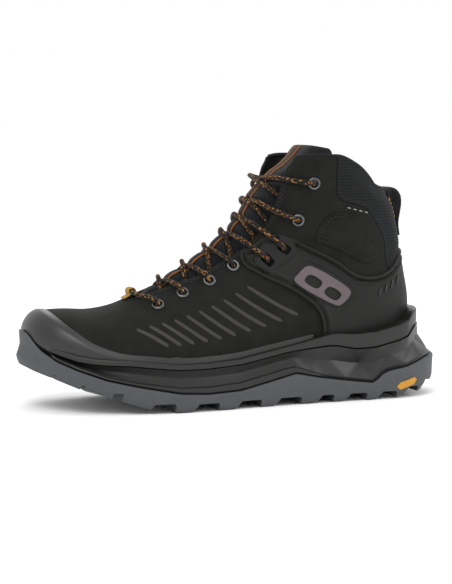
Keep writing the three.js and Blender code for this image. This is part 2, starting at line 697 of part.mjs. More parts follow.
const shankFront = -40;
const shankPlan = (by) => [
  [shankFront * scaleX - by, -shankHalfWidth - by],
  [shankFront * scaleX + shankLength + by, -shankHalfWidth - by],
  [shankFront * scaleX + shankLength + by, shankHalfWidth + by],
  [shankFront * scaleX - by, shankHalfWidth + by],
];
const bottomSheet = shell(0, leatherIn).intersect(below(skinBottom, 4));
addPiece("shank", bottomSheet.intersect(planPrism(shankPlan(0), -reach, reach)), "metal");
const filler = bottomSheet
  .intersect(planPrism(insetHole(fitGap), -reach, reach))
  .subtract(planPrism(shankPlan(fitGap), -reach, reach));
addPiece("bottom_filler", filler, "board");

const stiffener = shell(stiffenerOut, stiffenerIn).intersect(collarKeep);
const boardTop = 4.6;
const boardLine = below(skinBottom, boardTop);
const aboveBoard = (solid) => solid.subtract(below(skinBottom, boardTop + fitGap));
addPiece("lasting_board", stiffener.intersect(boardLine), "board");
const toePuffZone = sidePrism([[-reach, 0], [-92, 0], [-104, 100], [-reach, 100]]);
addPiece("toe_puff", aboveBoard(stiffener.intersect(toePuffZone)), "board");
const counterZone = [[66, 0], [70, 70], [84, 84], [100, 87], [reach, 92], [reach, 0]];
addPiece("heel_counter", aboveBoard(stiffener.intersect(sidePrism(counterZone))), "board");
const paddingZone = [[2, 106], [30, 90], [66, 78], [82, 88], [99, 91], [reach, 96], [reach, 300], [2, 300]];
addPiece("collar_padding", stiffener.intersect(sidePrism(paddingZone)).subtract(foamCut), "foam");

const lining = shell(liningOut, liningIn).intersect(collarKeep).subtract(liningCut);
addPiece("lining", lining, "liner");

const footbedDepth = liningIn - fitGap;
const footbedTop = -footbedDepth + footbedThickness;
const footbed = skinSolid(footbedDepth - footbedSideClearance + fitGap)
  .translate([0, 0, -footbedSideClearance + fitGap])
  .intersect(below(skinBottom, footbedTop));
addPiece("footbed", footbed, "liner");

// Overlays on the outside of the upper
const overlay = shell(overlayOut, fitGap).intersect(collarKeep);
const marginCut = sidePrism([
  [-reach, -reach],
  [-reach, 42],
  ...lipLine.map(([x, z]) => [x, z - lastedMargin / scaleZ]),
  [reach, 62],
  [reach, -reach],
]);
const capZone = sidePrism([[-reach, 78], ...capEdge, [52, 30], [52, -reach], [-reach, -reach]]);
addPiece("toe_cap_rand", overlay.intersect(capZone).subtract(marginCut), "film");
const cage = overlay
  .intersect(sidePrism(cageEdge))
  .subtract(marginCut)
  .subtract(throatCut)
  .subtract(laceHoleCuts);
addPiece("heel_cage_lateral", cage.intersect(lateralHalf), "nubuck");
addPiece("heel_cage_medial", cage.intersect(medialHalf), "nubuck");
const patch = shell(patchOut, fitGap).intersect(sidePrism(anklePatch));
addPiece("ankle_patch_lateral", patch.intersect(lateralHalf), "nubuck");
addPiece("ankle_patch_medial", patch.intersect(medialHalf), "nubuck");
const emblem = emblemWindows.reduce(
  (solid, window) => solid.subtract(sidePrism(window)),
  shell(emblemOut, emblemIn).intersect(sidePrism(emblemPanel)),
);
addPiece("side_panel_lateral", emblem.intersect(lateralHalf), "mesh");
addPiece("side_panel_medial", emblem.intersect(medialHalf), "mesh");

// Tongue, hinged at the instep, and its centre tape
function leaned(station, turn, depth) {
  const [backX, backZ, frontX, frontZ] = sliceAt(station);
  const inward = new THREE.Vector3((backX - frontX) * scaleX, 0, (backZ - frontZ) * scaleZ).normalize();
  return skinAt(station, turn, depth).addScaledVector(inward, along(leanLine, station));
}
function flapShare(station, turn) {
  const off = Math.abs(Math.PI - turn) / (Math.PI - throatTurn(station));
  return smoothStep(0.45, 1, off);
}
const tongueHigh = (station, turn) => tongueOut + (tongueUnderFlap - tongueOut) * flapShare(station, turn);
const tongueLow = (station, turn) => {
  const thin = tongueThickness * (1 - 0.55 * flapShare(station, turn));
  return tongueHigh(station, turn) - thin;
};
const tongue = band({
  from: tongueRoot, to: tongueTop, step: 1.1, edge: tongueTurn, high: tongueHigh, low: tongueLow,
  across: 12, place: leaned,
});
const tapeTurn = (station) => turnBeyond(station, Math.PI, tapeHalfWidth);
const tape = band({
  from: 9, to: tongueTop - 0.2, step: 1.3, edge: tapeTurn, high: constant(tapeOut),
  low: constant(tapeOut - tapeThickness), across: 2, place: leaned,
});
// The seam between the fixed root and the flexing part opens towards the foot, so that the part can lean back.
const hingeLine = sliceAt(hingeSlice);
const hingeInward = new THREE.Vector2(hingeLine[0] - hingeLine[2], hingeLine[1] - hingeLine[3]).normalize();
const hingePoint = new THREE.Vector2(hingeLine[2], hingeLine[3]).addScaledVector(hingeInward, hingeDepth);
const turned = (vector, degrees) => vector.clone().rotateAround(new THREE.Vector2(), (degrees * Math.PI) / 180);
const seamSide = (away, degrees) => {
  const side = turned(hingeInward, 90).multiplyScalar(away);
  const outer = hingePoint.clone().addScaledVector(hingeInward, -80).add(side);
  const middle = hingePoint.clone().add(side);
  const inner = middle.clone().addScaledVector(turned(hingeInward, degrees), 160);
  return [outer, middle, inner].map((p) => [p.x, p.y]);
};
const lowerZone = sidePrism([...seamSide(0, 0), [150, -100], [-300, -100], [-300, 200]]);
const upperZone = sidePrism([...seamSide(fitGap, tongueFlexDegrees + 1), [300, 100], [200, 300], [-100, 300]]);
addPiece("tongue_root", tongue.intersect(lowerZone), "textile");
addPiece("tongue_upper", tongue.intersect(upperZone), "textile");
addPiece("tongue_tape_root", tape.intersect(lowerZone), "film");
addPiece("tongue_tape_upper", tape.intersect(upperZone), "film");

// Eyelets
const eyeletProfile = [
  [eyeletHoleRadius, leatherIn - 0.95],
  [eyeletFlange - 0.3, leatherIn - 0.95],
  [eyeletFlange - 0.3, leatherIn - 0.55],
  [eyeletHoleRadius + eyeletWall, leatherIn - 0.55],
  [eyeletHoleRadius + eyeletWall, eyeletSeat],
  [eyeletFlange, eyeletSeat],
  [eyeletFlange - 0.4, eyeletSeat + eyeletRim],
  [eyeletHoleRadius + 0.4, eyeletSeat + eyeletRim],
  [eyeletHoleRadius, leatherIn - 0.95],
];
for (const side of [-1, 1]) {
  let number = 0;
  for (const hole of laceHoles.filter((each) => each.kind === "eyelet")) {
    number += 1;
    const points = eyeletProfile.map(([radius, height]) => new THREE.Vector2(radius, height));
    const geometry = new THREE.LatheGeometry(points, 10).rotateX(Math.PI / 2);
    const solid = solidFrom(standOn(geometry, hole, side));
    addPiece(`eyelet_${side < 0 ? "lateral" : "medial"}_${number}`, solid, "metal");
  }
}

// Lace: from a lace hole it runs under the flap, out at the throat, over the tongue and the far flap, and in.
const barSlice = 7.85;
const barDepth = 2.9;
function onGirth(station, girth, depth) {
  const beyond = turnBeyond(station, Math.PI, Math.abs(girth));
  return skinAt(station, girth < 0 ? beyond : fullTurn - beyond, depth);
}
const holeGirths = laceHoles.map((hole) => girthOf(hole.slice, hole.turn));
const rimHeight = (hole) => (hole.kind === "slot" ? overlayOut : eyeletSeat + eyeletRim);
// Depth of the lace's centre by share of the throat's half width, on the way out from under a flap and back.
const outLow = [[0, 0.3], [0.25, 0.3], [0.5, -0.3], [0.75, -2.9], [1, laceInside], [1.3, laceInside]];
const outHigh = [[0, 4.1], [0.25, 3.2], [0.5, 0.4], [0.75, -2.8], [1, laceInside], [1.3, laceInside]];
const inLow = [[0, 0.3], [0.25, 0.4], [0.5, 0.8], [0.75, 1.7], [1, 2.5], [1.3, 2.6]];
const inHigh = [[0, 4.1], [0.25, 3.8], [0.5, 3.3], [0.75, 2.8], [1, 2.6], [1.3, 2.6]];

function holePoint(index, side, towards, radial, height) {
  const hole = laceHoles[index];
  const turn = side < 0 ? hole.turn : fullTurn - hole.turn;
  const normal = facetNormal(hole.slice, turn);
  const centre = facetAt(hole.slice, turn, 0);
  const flat = towards.clone().sub(centre);
  flat.addScaledVector(normal, -flat.dot(normal)).normalize();
  return centre.addScaledVector(flat, radial).addScaledVector(normal, height);
}

function diveIn(index, side, from) {
  const rim = rimHeight(laceHoles[index]);
  return [[5.4, rim + 2.35], [3, rim + 2.3], [1.1, rim + 1.4], [0.1, rim - 0.2], [0, leatherIn / 2]].map(
    ([radial, height]) => holePoint(index, side, from, radial, height),
  );
}

function comeOut(index, side, to) {
  return [[0.1, leatherIn - 0.9], [0.9, laceInside + 0.75], [2.7, laceInside - 0.05], [5.2, laceInside]].map(
    ([radial, height]) => holePoint(index, side, to, radial, height),
  );
}

// The lace reaches these holes over the cage's front lugs.
const overCageHoles = [4, 5, 6];
function crossing(index, side, isHigh) {
  const points = [];
  const from = laceHoles[index];
  const to = laceHoles[index + 1];
  for (const share of [-1.15, -1, -0.75, -0.5, -0.25, 0, 0.25, 0.5, 0.75, 1, 1.15]) {
    const middle = (from.slice + to.slice) / 2;
    const half = girthOf(middle, throatTurn(middle));
    const girth = share * half;
    const s = (girth + holeGirths[index]) / (holeGirths[index] + holeGirths[index + 1]);
    const station = from.slice + (to.slice - from.slice) * s;
    const table = share < 0 ? (isHigh ? outHigh : outLow) : isHigh ? inHigh : inLow;
    const trueShare = Math.abs(girth) / girthOf(station, throatTurn(station));
    const overCage = share > 0 && overCageHoles.includes(index + 1);
    const raise = overCage ? upperClearance * smoothStep(0.2, 0.75, trueShare) : 0;
    points.push(onGirth(station, -side * girth, along(table, trueShare) + raise));
  }
  return points;
}

function strand(startSide) {
  const points = [];
  let side = startSide;
  const bar = onGirth(barSlice, side * 6, barDepth);
  points.push(bar, onGirth(barSlice + 0.15, side * 13, barDepth));
  let from = bar;
  for (let i = 0; i < laceHoles.length; i += 1) {
    points.push(...diveIn(i, side, from));
    if (i === laceHoles.length - 1) break;
    const path = crossing(i, side, startSide < 0 ? i % 2 === 0 : i % 2 === 1);
    points.push(...comeOut(i, side, path[3]), ...path);
    from = path[path.length - 3];
    side = -side;
  }
  return points;
}
const strands = [strand(1), strand(-1)];
const laceRoute = [...strands[1].slice().reverse(), onGirth(barSlice, 0, barDepth), ...strands[0]];
addPiece("lace", tube(laceRoute, laceRadius, 6, 220), "cord");

// The lace's two ends hang down inside the shaft and lie forward on the footbed.
const tailRoute = [
  [52, 24.3, 141], [55.5, 25, 130], [60, 25.2, 112], [65, 25.2, 94], [69.5, 24.6, 76], [71, 23.6, 60],
  [67, 22.6, 48.5], [57, 21.8, 42.8], [44, 21.4, 40.2], [30, 21.2, 38.5],
];
const agletEnd = [8, 20.8, 36.8];
// The tails lie this far inside the skin, whatever the width of the boot.
const tailInset = 7.3;
for (const side of [-1, 1]) {
  const label = side < 0 ? "lateral" : "medial";
  const top = strands[side < 0 ? 0 : 1];
  const exit = top[top.length - 1];
  const into = exit.clone().sub(top[top.length - 2]).normalize();
  const start = exit.clone().addScaledVector(into, fitGap);
  const reach = (y) => y * scaleY - tailInset * (1 - scaleY);
  const place = ([x, y, z]) => new THREE.Vector3(x * scaleX, reach(y) * side, z * scaleZ);
  const route = [start, start.clone().addScaledVector(into, 2.4)];
  tailRoute.forEach((point) => route.push(place(point)));
  addPiece(`lace_tail_${label}`, tube(route, laceRadius, 8, 28), "cord");
  const last = route[route.length - 1];
  const heading = place(agletEnd).sub(last).normalize();
  const agletStart = last.clone().addScaledVector(heading, fitGap + 0.3);
  const tip = agletStart.clone().addScaledVector(heading, agletLength);
  addPiece(`aglet_${label}`, tube([agletStart, agletStart.clone().lerp(tip, 0.5), tip], agletRadius, 10, 2), "film");
}

// Woven tag that arches over the lace's first bar
const tagCentre = onGirth(barSlice, 0, barDepth);
const tagNormal = facetNormal(barSlice, Math.PI);
const tagAngle = Math.atan2(tagNormal.z, tagNormal.x) - Math.PI / 2;
const tagInner = laceRadius + 0.4;
const tagOuter = tagInner + 1;
const tagShape = [];
for (let i = 0; i <= 10; i += 1) {
  const angle = (Math.PI * i) / 10;
  tagShape.push([tagOuter * Math.cos(angle), tagOuter * Math.sin(angle)]);
}
tagShape.push([-tagOuter, -1.1], [-tagOuter - 5, -1.1], [-tagOuter - 5, -2.1], [-tagInner, -2.1]);
for (let i = 10; i >= 0; i -= 1) {
  const angle = (Math.PI * i) / 10;
  tagShape.push([tagInner * Math.cos(angle), tagInner * Math.sin(angle)]);
}
tagShape.push([tagInner, -2.1], [tagOuter, -2.1]);
const tagOutline = tagShape.map(([u, v]) => {
  const turnedPoint = new THREE.Vector2(u, v).rotateAround(new THREE.Vector2(), tagAngle);
  return [(turnedPoint.x + tagCentre.x) / scaleX, (turnedPoint.y + tagCentre.z) / scaleZ];
});
const tagHalfWidth = 4.5;
addPiece("throat_tag", sidePrism(tagOutline, tagCentre.y - tagHalfWidth, tagCentre.y + tagHalfWidth), "gold");

// Heel pull loop of webbing, and the twisted trim on the heel seam inside it
const heelClear = fitGap + loopThickness / 2;
const heelBack = (z) => {
  let station = 18;
  while (skinPoint(station, 0).z < z * scaleZ && station < lastSlice) station += 0.02;
  return skinPoint(station, 0).x / scaleX;
};
const loopPoints = [
  [heelBack(139) + heelClear, 139], [heelBack(143) + heelClear + 0.6, 143], [118.6, 146.4], [122.8, 145.4],
  [126, 141.4], [126.6, 135.4], [125.6, 129], [heelBack(121.5) + heelClear + 0.9, 121.5],
  [heelBack(113) + heelClear, 113],
];
const loopCurve = new THREE.SplineCurve(loopPoints.map(([x, z]) => new THREE.Vector2(x, z)));
const loopLine = loopCurve.getPoints(24).map((p) => [p.x, p.y]);
addPiece("pull_loop", seamCut(loopLine, loopThickness, -loopWidth / 2, loopWidth / 2), "textile");
const trimTurn = 0.32;
const trimPoints = [22.3, 22, 21.7, 21.4].map((station) => facetAt(station, trimTurn, fitGap + trimRadius));
addPiece("heel_trim", tube(trimPoints, trimRadius, 6, 12), "gold");

// The part's frame stands at the middle of the sole.
const [frontEnd, rearEnd] = [outlineStart[0], medialOutline[0][0]];
const [lateralSide, medialSide] = [-56, 51];
group.position.set((-(frontEnd + rearEnd) / 2) * scaleX, (-(lateralSide + medialSide) / 2) * scaleY, 0);

export default group;
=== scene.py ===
import math
import bpy
import numpy as np
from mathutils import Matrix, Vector


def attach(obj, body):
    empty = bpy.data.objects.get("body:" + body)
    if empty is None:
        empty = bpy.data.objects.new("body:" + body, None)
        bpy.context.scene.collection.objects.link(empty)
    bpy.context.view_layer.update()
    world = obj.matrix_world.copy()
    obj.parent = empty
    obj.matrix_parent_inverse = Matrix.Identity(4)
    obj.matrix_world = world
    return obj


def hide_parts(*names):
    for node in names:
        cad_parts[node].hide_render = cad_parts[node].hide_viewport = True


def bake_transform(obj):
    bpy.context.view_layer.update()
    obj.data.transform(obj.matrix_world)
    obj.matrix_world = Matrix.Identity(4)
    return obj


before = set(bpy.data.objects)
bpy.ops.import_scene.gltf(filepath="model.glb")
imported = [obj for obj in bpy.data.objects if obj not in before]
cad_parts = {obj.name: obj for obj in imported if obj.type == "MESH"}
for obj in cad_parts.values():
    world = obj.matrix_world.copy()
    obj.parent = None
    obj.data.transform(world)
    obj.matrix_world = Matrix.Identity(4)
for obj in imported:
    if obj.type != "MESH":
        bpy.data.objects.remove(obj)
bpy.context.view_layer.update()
print("frame loaded")

# Everything below is drawn in millimetres on the boot's own lines.
# toFrame moves it to the row frame, in metres.
originShift = np.array([-1.1, 2.5, 0.0])


def toFrame(points):
    return (np.asarray(points, float) + originShift) / 1000


# Camera, at the height of a table shot, off the toe on the outer side
cameraSet = {"place": (-447.6, -1221.6, 190), "aim": (-3, 0, 75), "lens": 114.8}
cameraData = bpy.data.cameras.new("studioCamera")
cameraData.lens = cameraSet["lens"]
cameraData.sensor_width = 36
camera = bpy.data.objects.new("studioCamera", cameraData)
bpy.context.scene.collection.objects.link(camera)
camera.location = toFrame(cameraSet["place"])
aimLine = Vector(toFrame(cameraSet["aim"])) - camera.location
camera.rotation_euler = aimLine.to_track_quat("-Z", "Y").to_euler()
bpy.context.scene.camera = camera

# The upper's skin: slices that fan from upright at the toe to level at the collar, as the solids have.
# back x, back z, front x, front z, centre y, half width, share of depth at the widest place,
# roundness low and high
slices = np.array([
    [-145.3, 45, -145.3, 50, 6, 5, 0.5, 2, 2],
    [-144.6, 41, -144.6, 55.5, 6, 11, 0.48, 2.1, 2],
    [-141.9, 37, -141.9, 60.8, 6, 19, 0.44, 2.2, 2.05],
    [-137.4, 34, -137.4, 64.5, 5.5, 26, 0.4, 2.4, 2.1],
    [-130, 31, -130, 66.4, 4.5, 33, 0.36, 2.7, 2.1],
    [-118, 27.5, -118, 66.8, 3, 39, 0.33, 3, 2.05],
    [-102, 24, -102, 66.4, 1, 43, 0.31, 3.2, 1.95],
    [-86, 21, -86, 69.5, -1, 45.5, 0.3, 3.3, 1.8],
    [-70, 19, -70, 76.5, -2.5, 46.5, 0.3, 3.3, 1.65],
    [-53, 18, -55, 84, -3.5, 46, 0.29, 3.3, 1.55],
    [-34, 18, -40, 92.5, -3.5, 44, 0.28, 3.2, 1.5],
    [-12, 19.5, -26, 101.5, -3.5, 40.5, 0.27, 3.1, 1.5],
    [13, 22, -14, 110.5, -3, 37.5, 0.27, 3, 1.55],
    [42, 25, -4, 119, -2.5, 35.5, 0.28, 2.9, 1.65],
    [74, 28, 4, 127, -1.5, 34.5, 0.31, 2.8, 1.8],
    [104, 30, 9.5, 134, -0.5, 33.8, 0.36, 2.6, 2],
    [125.5, 36, 13, 140, 0, 33.4, 0.41, 2.3, 2.2],
    [132, 52, 15.5, 145, 0, 33.4, 0.45, 2.1, 2.4],
    [132.4, 68, 17.5, 149.5, 0, 33.6, 0.47, 2.1, 2.5],
    [129.2, 86, 19.5, 154, 0, 34, 0.49, 2.1, 2.6],
    [126, 102, 21.5, 158.5, 0, 34.5, 0.5, 2.1, 2.6],
    [123.2, 118, 23.5, 163, 0, 35, 0.5, 2.1, 2.6],
    [118.6, 134, 26, 168, 0, 35.5, 0.5, 2.1, 2.6],
    [112.3, 149, 28.5, 174, 0, 36, 0.5, 2.1, 2.6],
    [105, 164, 31, 181, 0, 36.5, 0.5, 2.1, 2.6],
    [97, 179, 33.5, 188, 0, 37, 0.5, 2.1, 2.6],
])
lastSlice = len(slices) - 1
fullTurn = 2 * math.pi
ridge = math.pi
bothSides = ((-1, "lateral"), (1, "medial"))


def paired(first, second):
    return np.broadcast_arrays(np.asarray(first, float), np.asarray(second, float))


def unit(vectors):
    return vectors / np.linalg.norm(vectors, axis=-1, keepdims=True)


def runAlong(path):
    return np.r_[0, np.cumsum(np.linalg.norm(np.diff(path, axis=0), axis=1))]


def ridgeAt(distance, centre, width):
    return np.exp(-((distance - centre) / width) ** 2)


def sliceAt(station):
    s = np.clip(np.asarray(station, float), 0, lastSlice)
    i = np.minimum(np.floor(s).astype(int), lastSlice - 1)
    f = (s - i)[..., None]
    a, b = slices[np.maximum(i - 1, 0)], slices[i]
    c, d = slices[i + 1], slices[np.minimum(i + 2, lastSlice)]
    cubic = (3 * b - a - 3 * c + d) * f**3
    return 0.5 * (2 * b + (c - a) * f + (2 * a - 5 * b + 4 * c - d) * f**2 + cubic)


def skinPoint(station, turn):
    station, turn = paired(station, turn)
    rows = np.moveaxis(sliceAt(station), -1, 0)
    backX, backZ, frontX, frontZ, centreY, halfWidth, widest, lowRound, highRound = rows
    cosine, sine = np.cos(turn), np.sin(turn)
    power = 2 / np.where(cosine > 0, lowRound, highRound)
    bulge = np.abs(cosine) ** power
    share = np.where(cosine > 0, widest * (1 - bulge), widest + (1 - widest) * bulge)
    y = centreY - np.sign(sine) * halfWidth * np.abs(sine) ** power
    return np.stack([backX + (frontX - backX) * share, y, backZ + (frontZ - backZ) * share], -1)


def skinNormal(station, turn):
    step = 0.02
    ahead = skinPoint(np.minimum(station + step, lastSlice), turn)
    run = ahead - skinPoint(np.maximum(station - step, 0), turn)
    over = skinPoint(station, turn + step) - skinPoint(station, turn - step)
    normal = np.cross(run, over)
    normal /= np.maximum(np.linalg.norm(normal, axis=-1, keepdims=True), 1e-9)
    row = sliceAt(station)
    middle = np.stack([(row[..., 0] + row[..., 2]) / 2, row[..., 4], (row[..., 1] + row[..., 3]) / 2], -1)
    outward = np.sum((skinPoint(station, turn) - middle) * normal, -1, keepdims=True)
    return np.where(outward < 0, -normal, normal)


def skinAt(station, turn, depth):
    station, turn = paired(station, turn)
    return skinPoint(station, turn) + skinNormal(station, turn) * np.asarray(depth, float)[..., None]


# Distance round each slice from the ridge, tabled once
tableStations = np.linspace(0, lastSlice, 501)
tableTurns = np.linspace(ridge, 0, 401)
tablePoints = skinPoint(tableStations[:, None], tableTurns[None, :])
tableGirths = np.zeros(tablePoints.shape[:2])
tableGirths[:, 1:] = np.cumsum(np.linalg.norm(np.diff(tablePoints, axis=1), axis=2), axis=1)


def girthRow(station):
    place = min(max(float(station), 0), lastSlice) * (len(tableStations) - 1) / lastSlice
    low = min(int(place), len(tableStations) - 2)
    return tableGirths[low] + (tableGirths[low + 1] - tableGirths[low]) * (place - low)


def girthOf(station, turn):
    station, turn = paired(station, turn)
    a = np.clip(station, 0, lastSlice) * (len(tableStations) - 1) / lastSlice
    b = (ridge - np.clip(turn, 0, ridge)) * (len(tableTurns) - 1) / ridge
    i = np.minimum(a.astype(int), len(tableStations) - 2)
    j = np.minimum(b.astype(int), len(tableTurns) - 2)
    f, g = a - i, b - j
    low = tableGirths[i, j] * (1 - g) + tableGirths[i, j + 1] * g
    high = tableGirths[i + 1, j] * (1 - g) + tableGirths[i + 1, j + 1] * g
    return low * (1 - f) + high * f


def turnAtGirth(station, girth):
    station, girth = paired(station, girth)
    found = [np.interp(g, girthRow(s), tableTurns) for s, g in zip(station.ravel(), girth.ravel())]
    return np.array(found).reshape(station.shape)


def turnBeyond(station, turn, distance):
    return turnAtGirth(station, girthOf(station, turn) + distance)


def along(table, value):
    columns = np.array(table, float)
    return np.interp(value, columns[:, 0], columns[:, 1])


def smoothStep(low, high, value):
    t = np.clip((value - low) / (high - low), 0, 1)
    return t * t * (3 - 2 * t)


def smoothPath(points, step, closed=False):
    points = np.asarray(points, float)
    count = len(points)
    ends = range(count if closed else count - 1)
    made = []
    for i in ends:
        b, c = points[i], points[(i + 1) % count]
        a = points[(i - 1) % count] if closed or i > 0 else 2 * b - c
        d = points[(i + 2) % count] if closed or i < count - 2 else 2 * c - b
        knots = [max(np.linalg.norm(q - p), 1e-6) ** 0.5 for p, q in ((a, b), (b, c), (c, d))]
        t1, t2, t3 = knots[0], knots[0] + knots[1], sum(knots)
        pieces = max(1, int(math.ceil(np.linalg.norm(c - b) / step)))
        for k in range(pieces):
            t = t1 + (t2 - t1) * k / pieces
            ab = a + (b - a) * t / t1
            bc = b + (c - b) * (t - t1) / (t2 - t1)
            cd = c + (d - c) * (t - t2) / (t3 - t2)
            abc = ab + (bc - ab) * t / t2
            bcd = bc + (cd - bc) * (t - t1) / (t3 - t1)
            made.append(abc + (bcd - abc) * (t - t1) / (t2 - t1))
    if not closed:
        made.append(points[-1])
    return np.array(made)


def evenly(path, step, closed=False):
    path = np.asarray(path, float)
    if closed:
        path = np.vstack([path, path[:1]])
    run = runAlong(path)
    count = max(2, int(round(run[-1] / step)))
    places = np.linspace(0, run[-1], count + 1)
    if closed:
        places = places[:-1]
    return np.stack([np.interp(places, run, path[:, k]) for k in range(path.shape[1])], 1)


def insideBy(points, outline):
    starts = np.asarray(outline, float)
    ends = np.roll(starts, -1, axis=0)
    result = np.empty(len(points))
    batch = 8000  # points at a time, to keep the memory small
    for first in range(0, len(points), batch):
        part = points[first:first + batch]
        line = ends - starts
        rel = part[:, None, :] - starts[None]
        share = np.clip(np.sum(rel * line, 2) / np.maximum(np.sum(line * line, 1), 1e-9), 0, 1)
        gap = np.linalg.norm(rel - share[..., None] * line[None], axis=2).min(1)
        z, x = part[:, None, 1], part[:, None, 0]
        z0, z1 = starts[None, :, 1], ends[None, :, 1]
        crosses = (z0 > z) != (z1 > z)
        meets = starts[None, :, 0] + (z - z0) * line[None, :, 0] / np.where(z1 == z0, 1e-9, z1 - z0)
        odd = np.sum(crosses & (x < meets), 1) % 2 == 1
        result[first:first + batch] = np.where(odd, gap, -gap)
    return result


# Mesh making
def makeMesh(name, points, faces, sharp=40, uv=None):
    mesh = bpy.data.meshes.new(name)
    mesh.from_pydata(toFrame(points).tolist(), [], [list(map(int, face)) for face in faces])
    mesh.polygons.foreach_set("use_smooth", [True] * len(mesh.polygons))
    mesh.update()
    triangleCorners = np.zeros(len(mesh.loop_triangles) * 3, int)
    mesh.loop_triangles.foreach_get("vertices", triangleCorners)
    a, b, c = np.asarray(points, float)[triangleCorners.reshape(-1, 3)].transpose(1, 0, 2)
    if np.sum(a * np.cross(b, c)) < 0:
        mesh.flip_normals()
    if uv is not None:
        layer = mesh.uv_layers.new(name="alongAndRound")
        corners = np.zeros(len(mesh.loops), int)
        mesh.loops.foreach_get("vertex_index", corners)
        layer.data.foreach_set("uv", np.asarray(uv, float)[corners].ravel())
    mesh.set_sharp_from_angle(angle=math.radians(sharp))
    made = bpy.data.objects.new(name, mesh)
    bpy.context.scene.collection.objects.link(made)
    return made


def skinGrid(fromStation, toStation, stationStep, fromTurn, toTurn, turnStep):
    rows = max(1, int(math.ceil((toStation - fromStation) / stationStep)))
    columns = max(1, int(math.ceil((toTurn - fromTurn) / turnStep)))
    stations = np.linspace(fromStation, toStation, rows + 1)
    turns = np.linspace(fromTurn, toTurn, columns + 1)
    places = np.stack(np.meshgrid(stations, turns, indexing="ij"), -1).reshape(-1, 2)
    a = (np.arange(rows)[:, None] * (columns + 1) + np.arange(columns)[None, :]).ravel()
    b, c, d = a + 1, a + columns + 2, a + columns + 1
    odd = (np.arange(rows)[:, None] + np.arange(columns)[None, :]).ravel() % 2 == 1
    first = np.where(odd[:, None], np.stack([a, b, d], 1), np.stack([a, b, c], 1))
    second = np.where(odd[:, None], np.stack([b, c, d], 1), np.stack([a, c, d], 1))
    return places, np.vstack([first, second])


def splitAt(data, tris, level):
    data = data.copy()
    gap = data[:, -1] - level
    near = np.abs(gap) < 0.02
    data[near, -1] = level
    sign = np.where(near, 0, np.sign(gap)).astype(int)
    ts = sign[tris]
    mixed = (ts.min(1) < 0) & (ts.max(1) > 0)
    kept, cut, cs = tris[~mixed], tris[mixed], ts[mixed]
    if not len(cut):
        return data, tris
    touching = (cs == 0).any(1)
    lone = np.where(touching, np.argmax(cs == 0, 1), np.argmax(cs == -np.sign(cs.sum(1))[:, None], 1))
    order = (lone[:, None] + np.arange(3)[None, :]) % 3
    cut = np.take_along_axis(cut, order, 1)
    one, two = cut[touching], cut[~touching]
    edges = np.vstack([one[:, [1, 2]], two[:, [0, 1]], two[:, [2, 0]]])
    pairs, where = np.unique(np.sort(edges, 1), axis=0, return_inverse=True)
    where = where.ravel() + len(data)
    low, high = data[pairs[:, 0]], data[pairs[:, 1]]
    share = (level - low[:, -1]) / (high[:, -1] - low[:, -1])
    fresh = low + (high - low) * share[:, None]
    fresh[:, -1] = level
    p = where[:len(one)]
    q = where[len(one):len(one) + len(two)]
    r = where[len(one) + len(two):]
    made = [
        kept,
        np.stack([one[:, 0], one[:, 1], p], 1), np.stack([one[:, 0], p, one[:, 2]], 1),
        np.stack([two[:, 0], q, r], 1), np.stack([q, two[:, 1], two[:, 2]], 1),
        np.stack([q, two[:, 2], r], 1),
    ]
    return np.vstack([data, fresh]), np.vstack(made)


def tidyUp(data, tris):
    used = np.unique(tris)
    index = np.full(len(data), -1)
    index[used] = np.arange(len(used))
    return data[used], index[tris]


def weld(points, tris):
    # joins the places that fall on one point, and drops the triangles that this closes up
    _, first, back = np.unique(np.round(points, 3), axis=0, return_index=True, return_inverse=True)
    tris = back.ravel()[tris]
    whole = (tris[:, 0] != tris[:, 1]) & (tris[:, 1] != tris[:, 2]) & (tris[:, 0] != tris[:, 2])
    return first, tris[whole]


def rimDrop(inside, radius):
    left = 1 - np.clip(inside / radius, 0, 1)
    return radius * (1 - np.sqrt(np.maximum(1 - left * left, 0)))


rimLevels = (0, 0.12, 0.35, 0.75, 1.3)  # distances in from the edge that get their own row of points


def skinShell(name, span, field, high, low, rim=0.8):
    places, tris = skinGrid(*span)
    inside = field(places[:, 0], places[:, 1], skinPoint(places[:, 0], places[:, 1]))
    data = np.column_stack([places, inside])
    for level in rimLevels:
        data, tris = splitAt(data, tris, level)
    tris = tris[(data[tris, 2] >= -1e-6).all(1)]
    data, tris = tidyUp(data, tris)
    surface = skinPoint(data[:, 0], data[:, 1])
    first, tris = weld(surface, tris)
    data, surface = data[first], surface[first]
    station, turn, inside = data.T
    normal = skinNormal(station, turn)
    facing = np.cross(surface[tris[:, 1]] - surface[tris[:, 0]], surface[tris[:, 2]] - surface[tris[:, 0]])
    if np.sum(facing * normal[tris[:, 0]]) < 0:
        tris = tris[:, ::-1]
    top = surface + normal * (high(station, turn, surface, inside) - rimDrop(inside, rim))[:, None]
    bottom = surface + normal * low
    edges = np.vstack([tris[:, [0, 1]], tris[:, [1, 2]], tris[:, [2, 0]]])
    _, back, counts = np.unique(np.sort(edges, 1), axis=0, return_inverse=True, return_counts=True)
    border = edges[counts[back.ravel()] == 1]
    shift = len(top)
    walls = np.column_stack([border[:, 1], border[:, 0], border[:, 0] + shift, border[:, 1] + shift])
    faces = tris.tolist() + walls.tolist() + (tris[:, ::-1] + shift).tolist()
    return makeMesh(name, np.vstack([top, bottom]), faces)


def ringFaces(rows, count, shift=0, capped=True):
    index = np.arange(rows * count).reshape(rows, count) + shift
    after = np.roll(index, -1, axis=1)
    faces = np.stack([index[:-1], after[:-1], after[1:], index[1:]], -1).reshape(-1, 4).tolist()
    if capped:
        faces += [index[0][::-1].tolist(), index[-1].tolist()]
    return faces


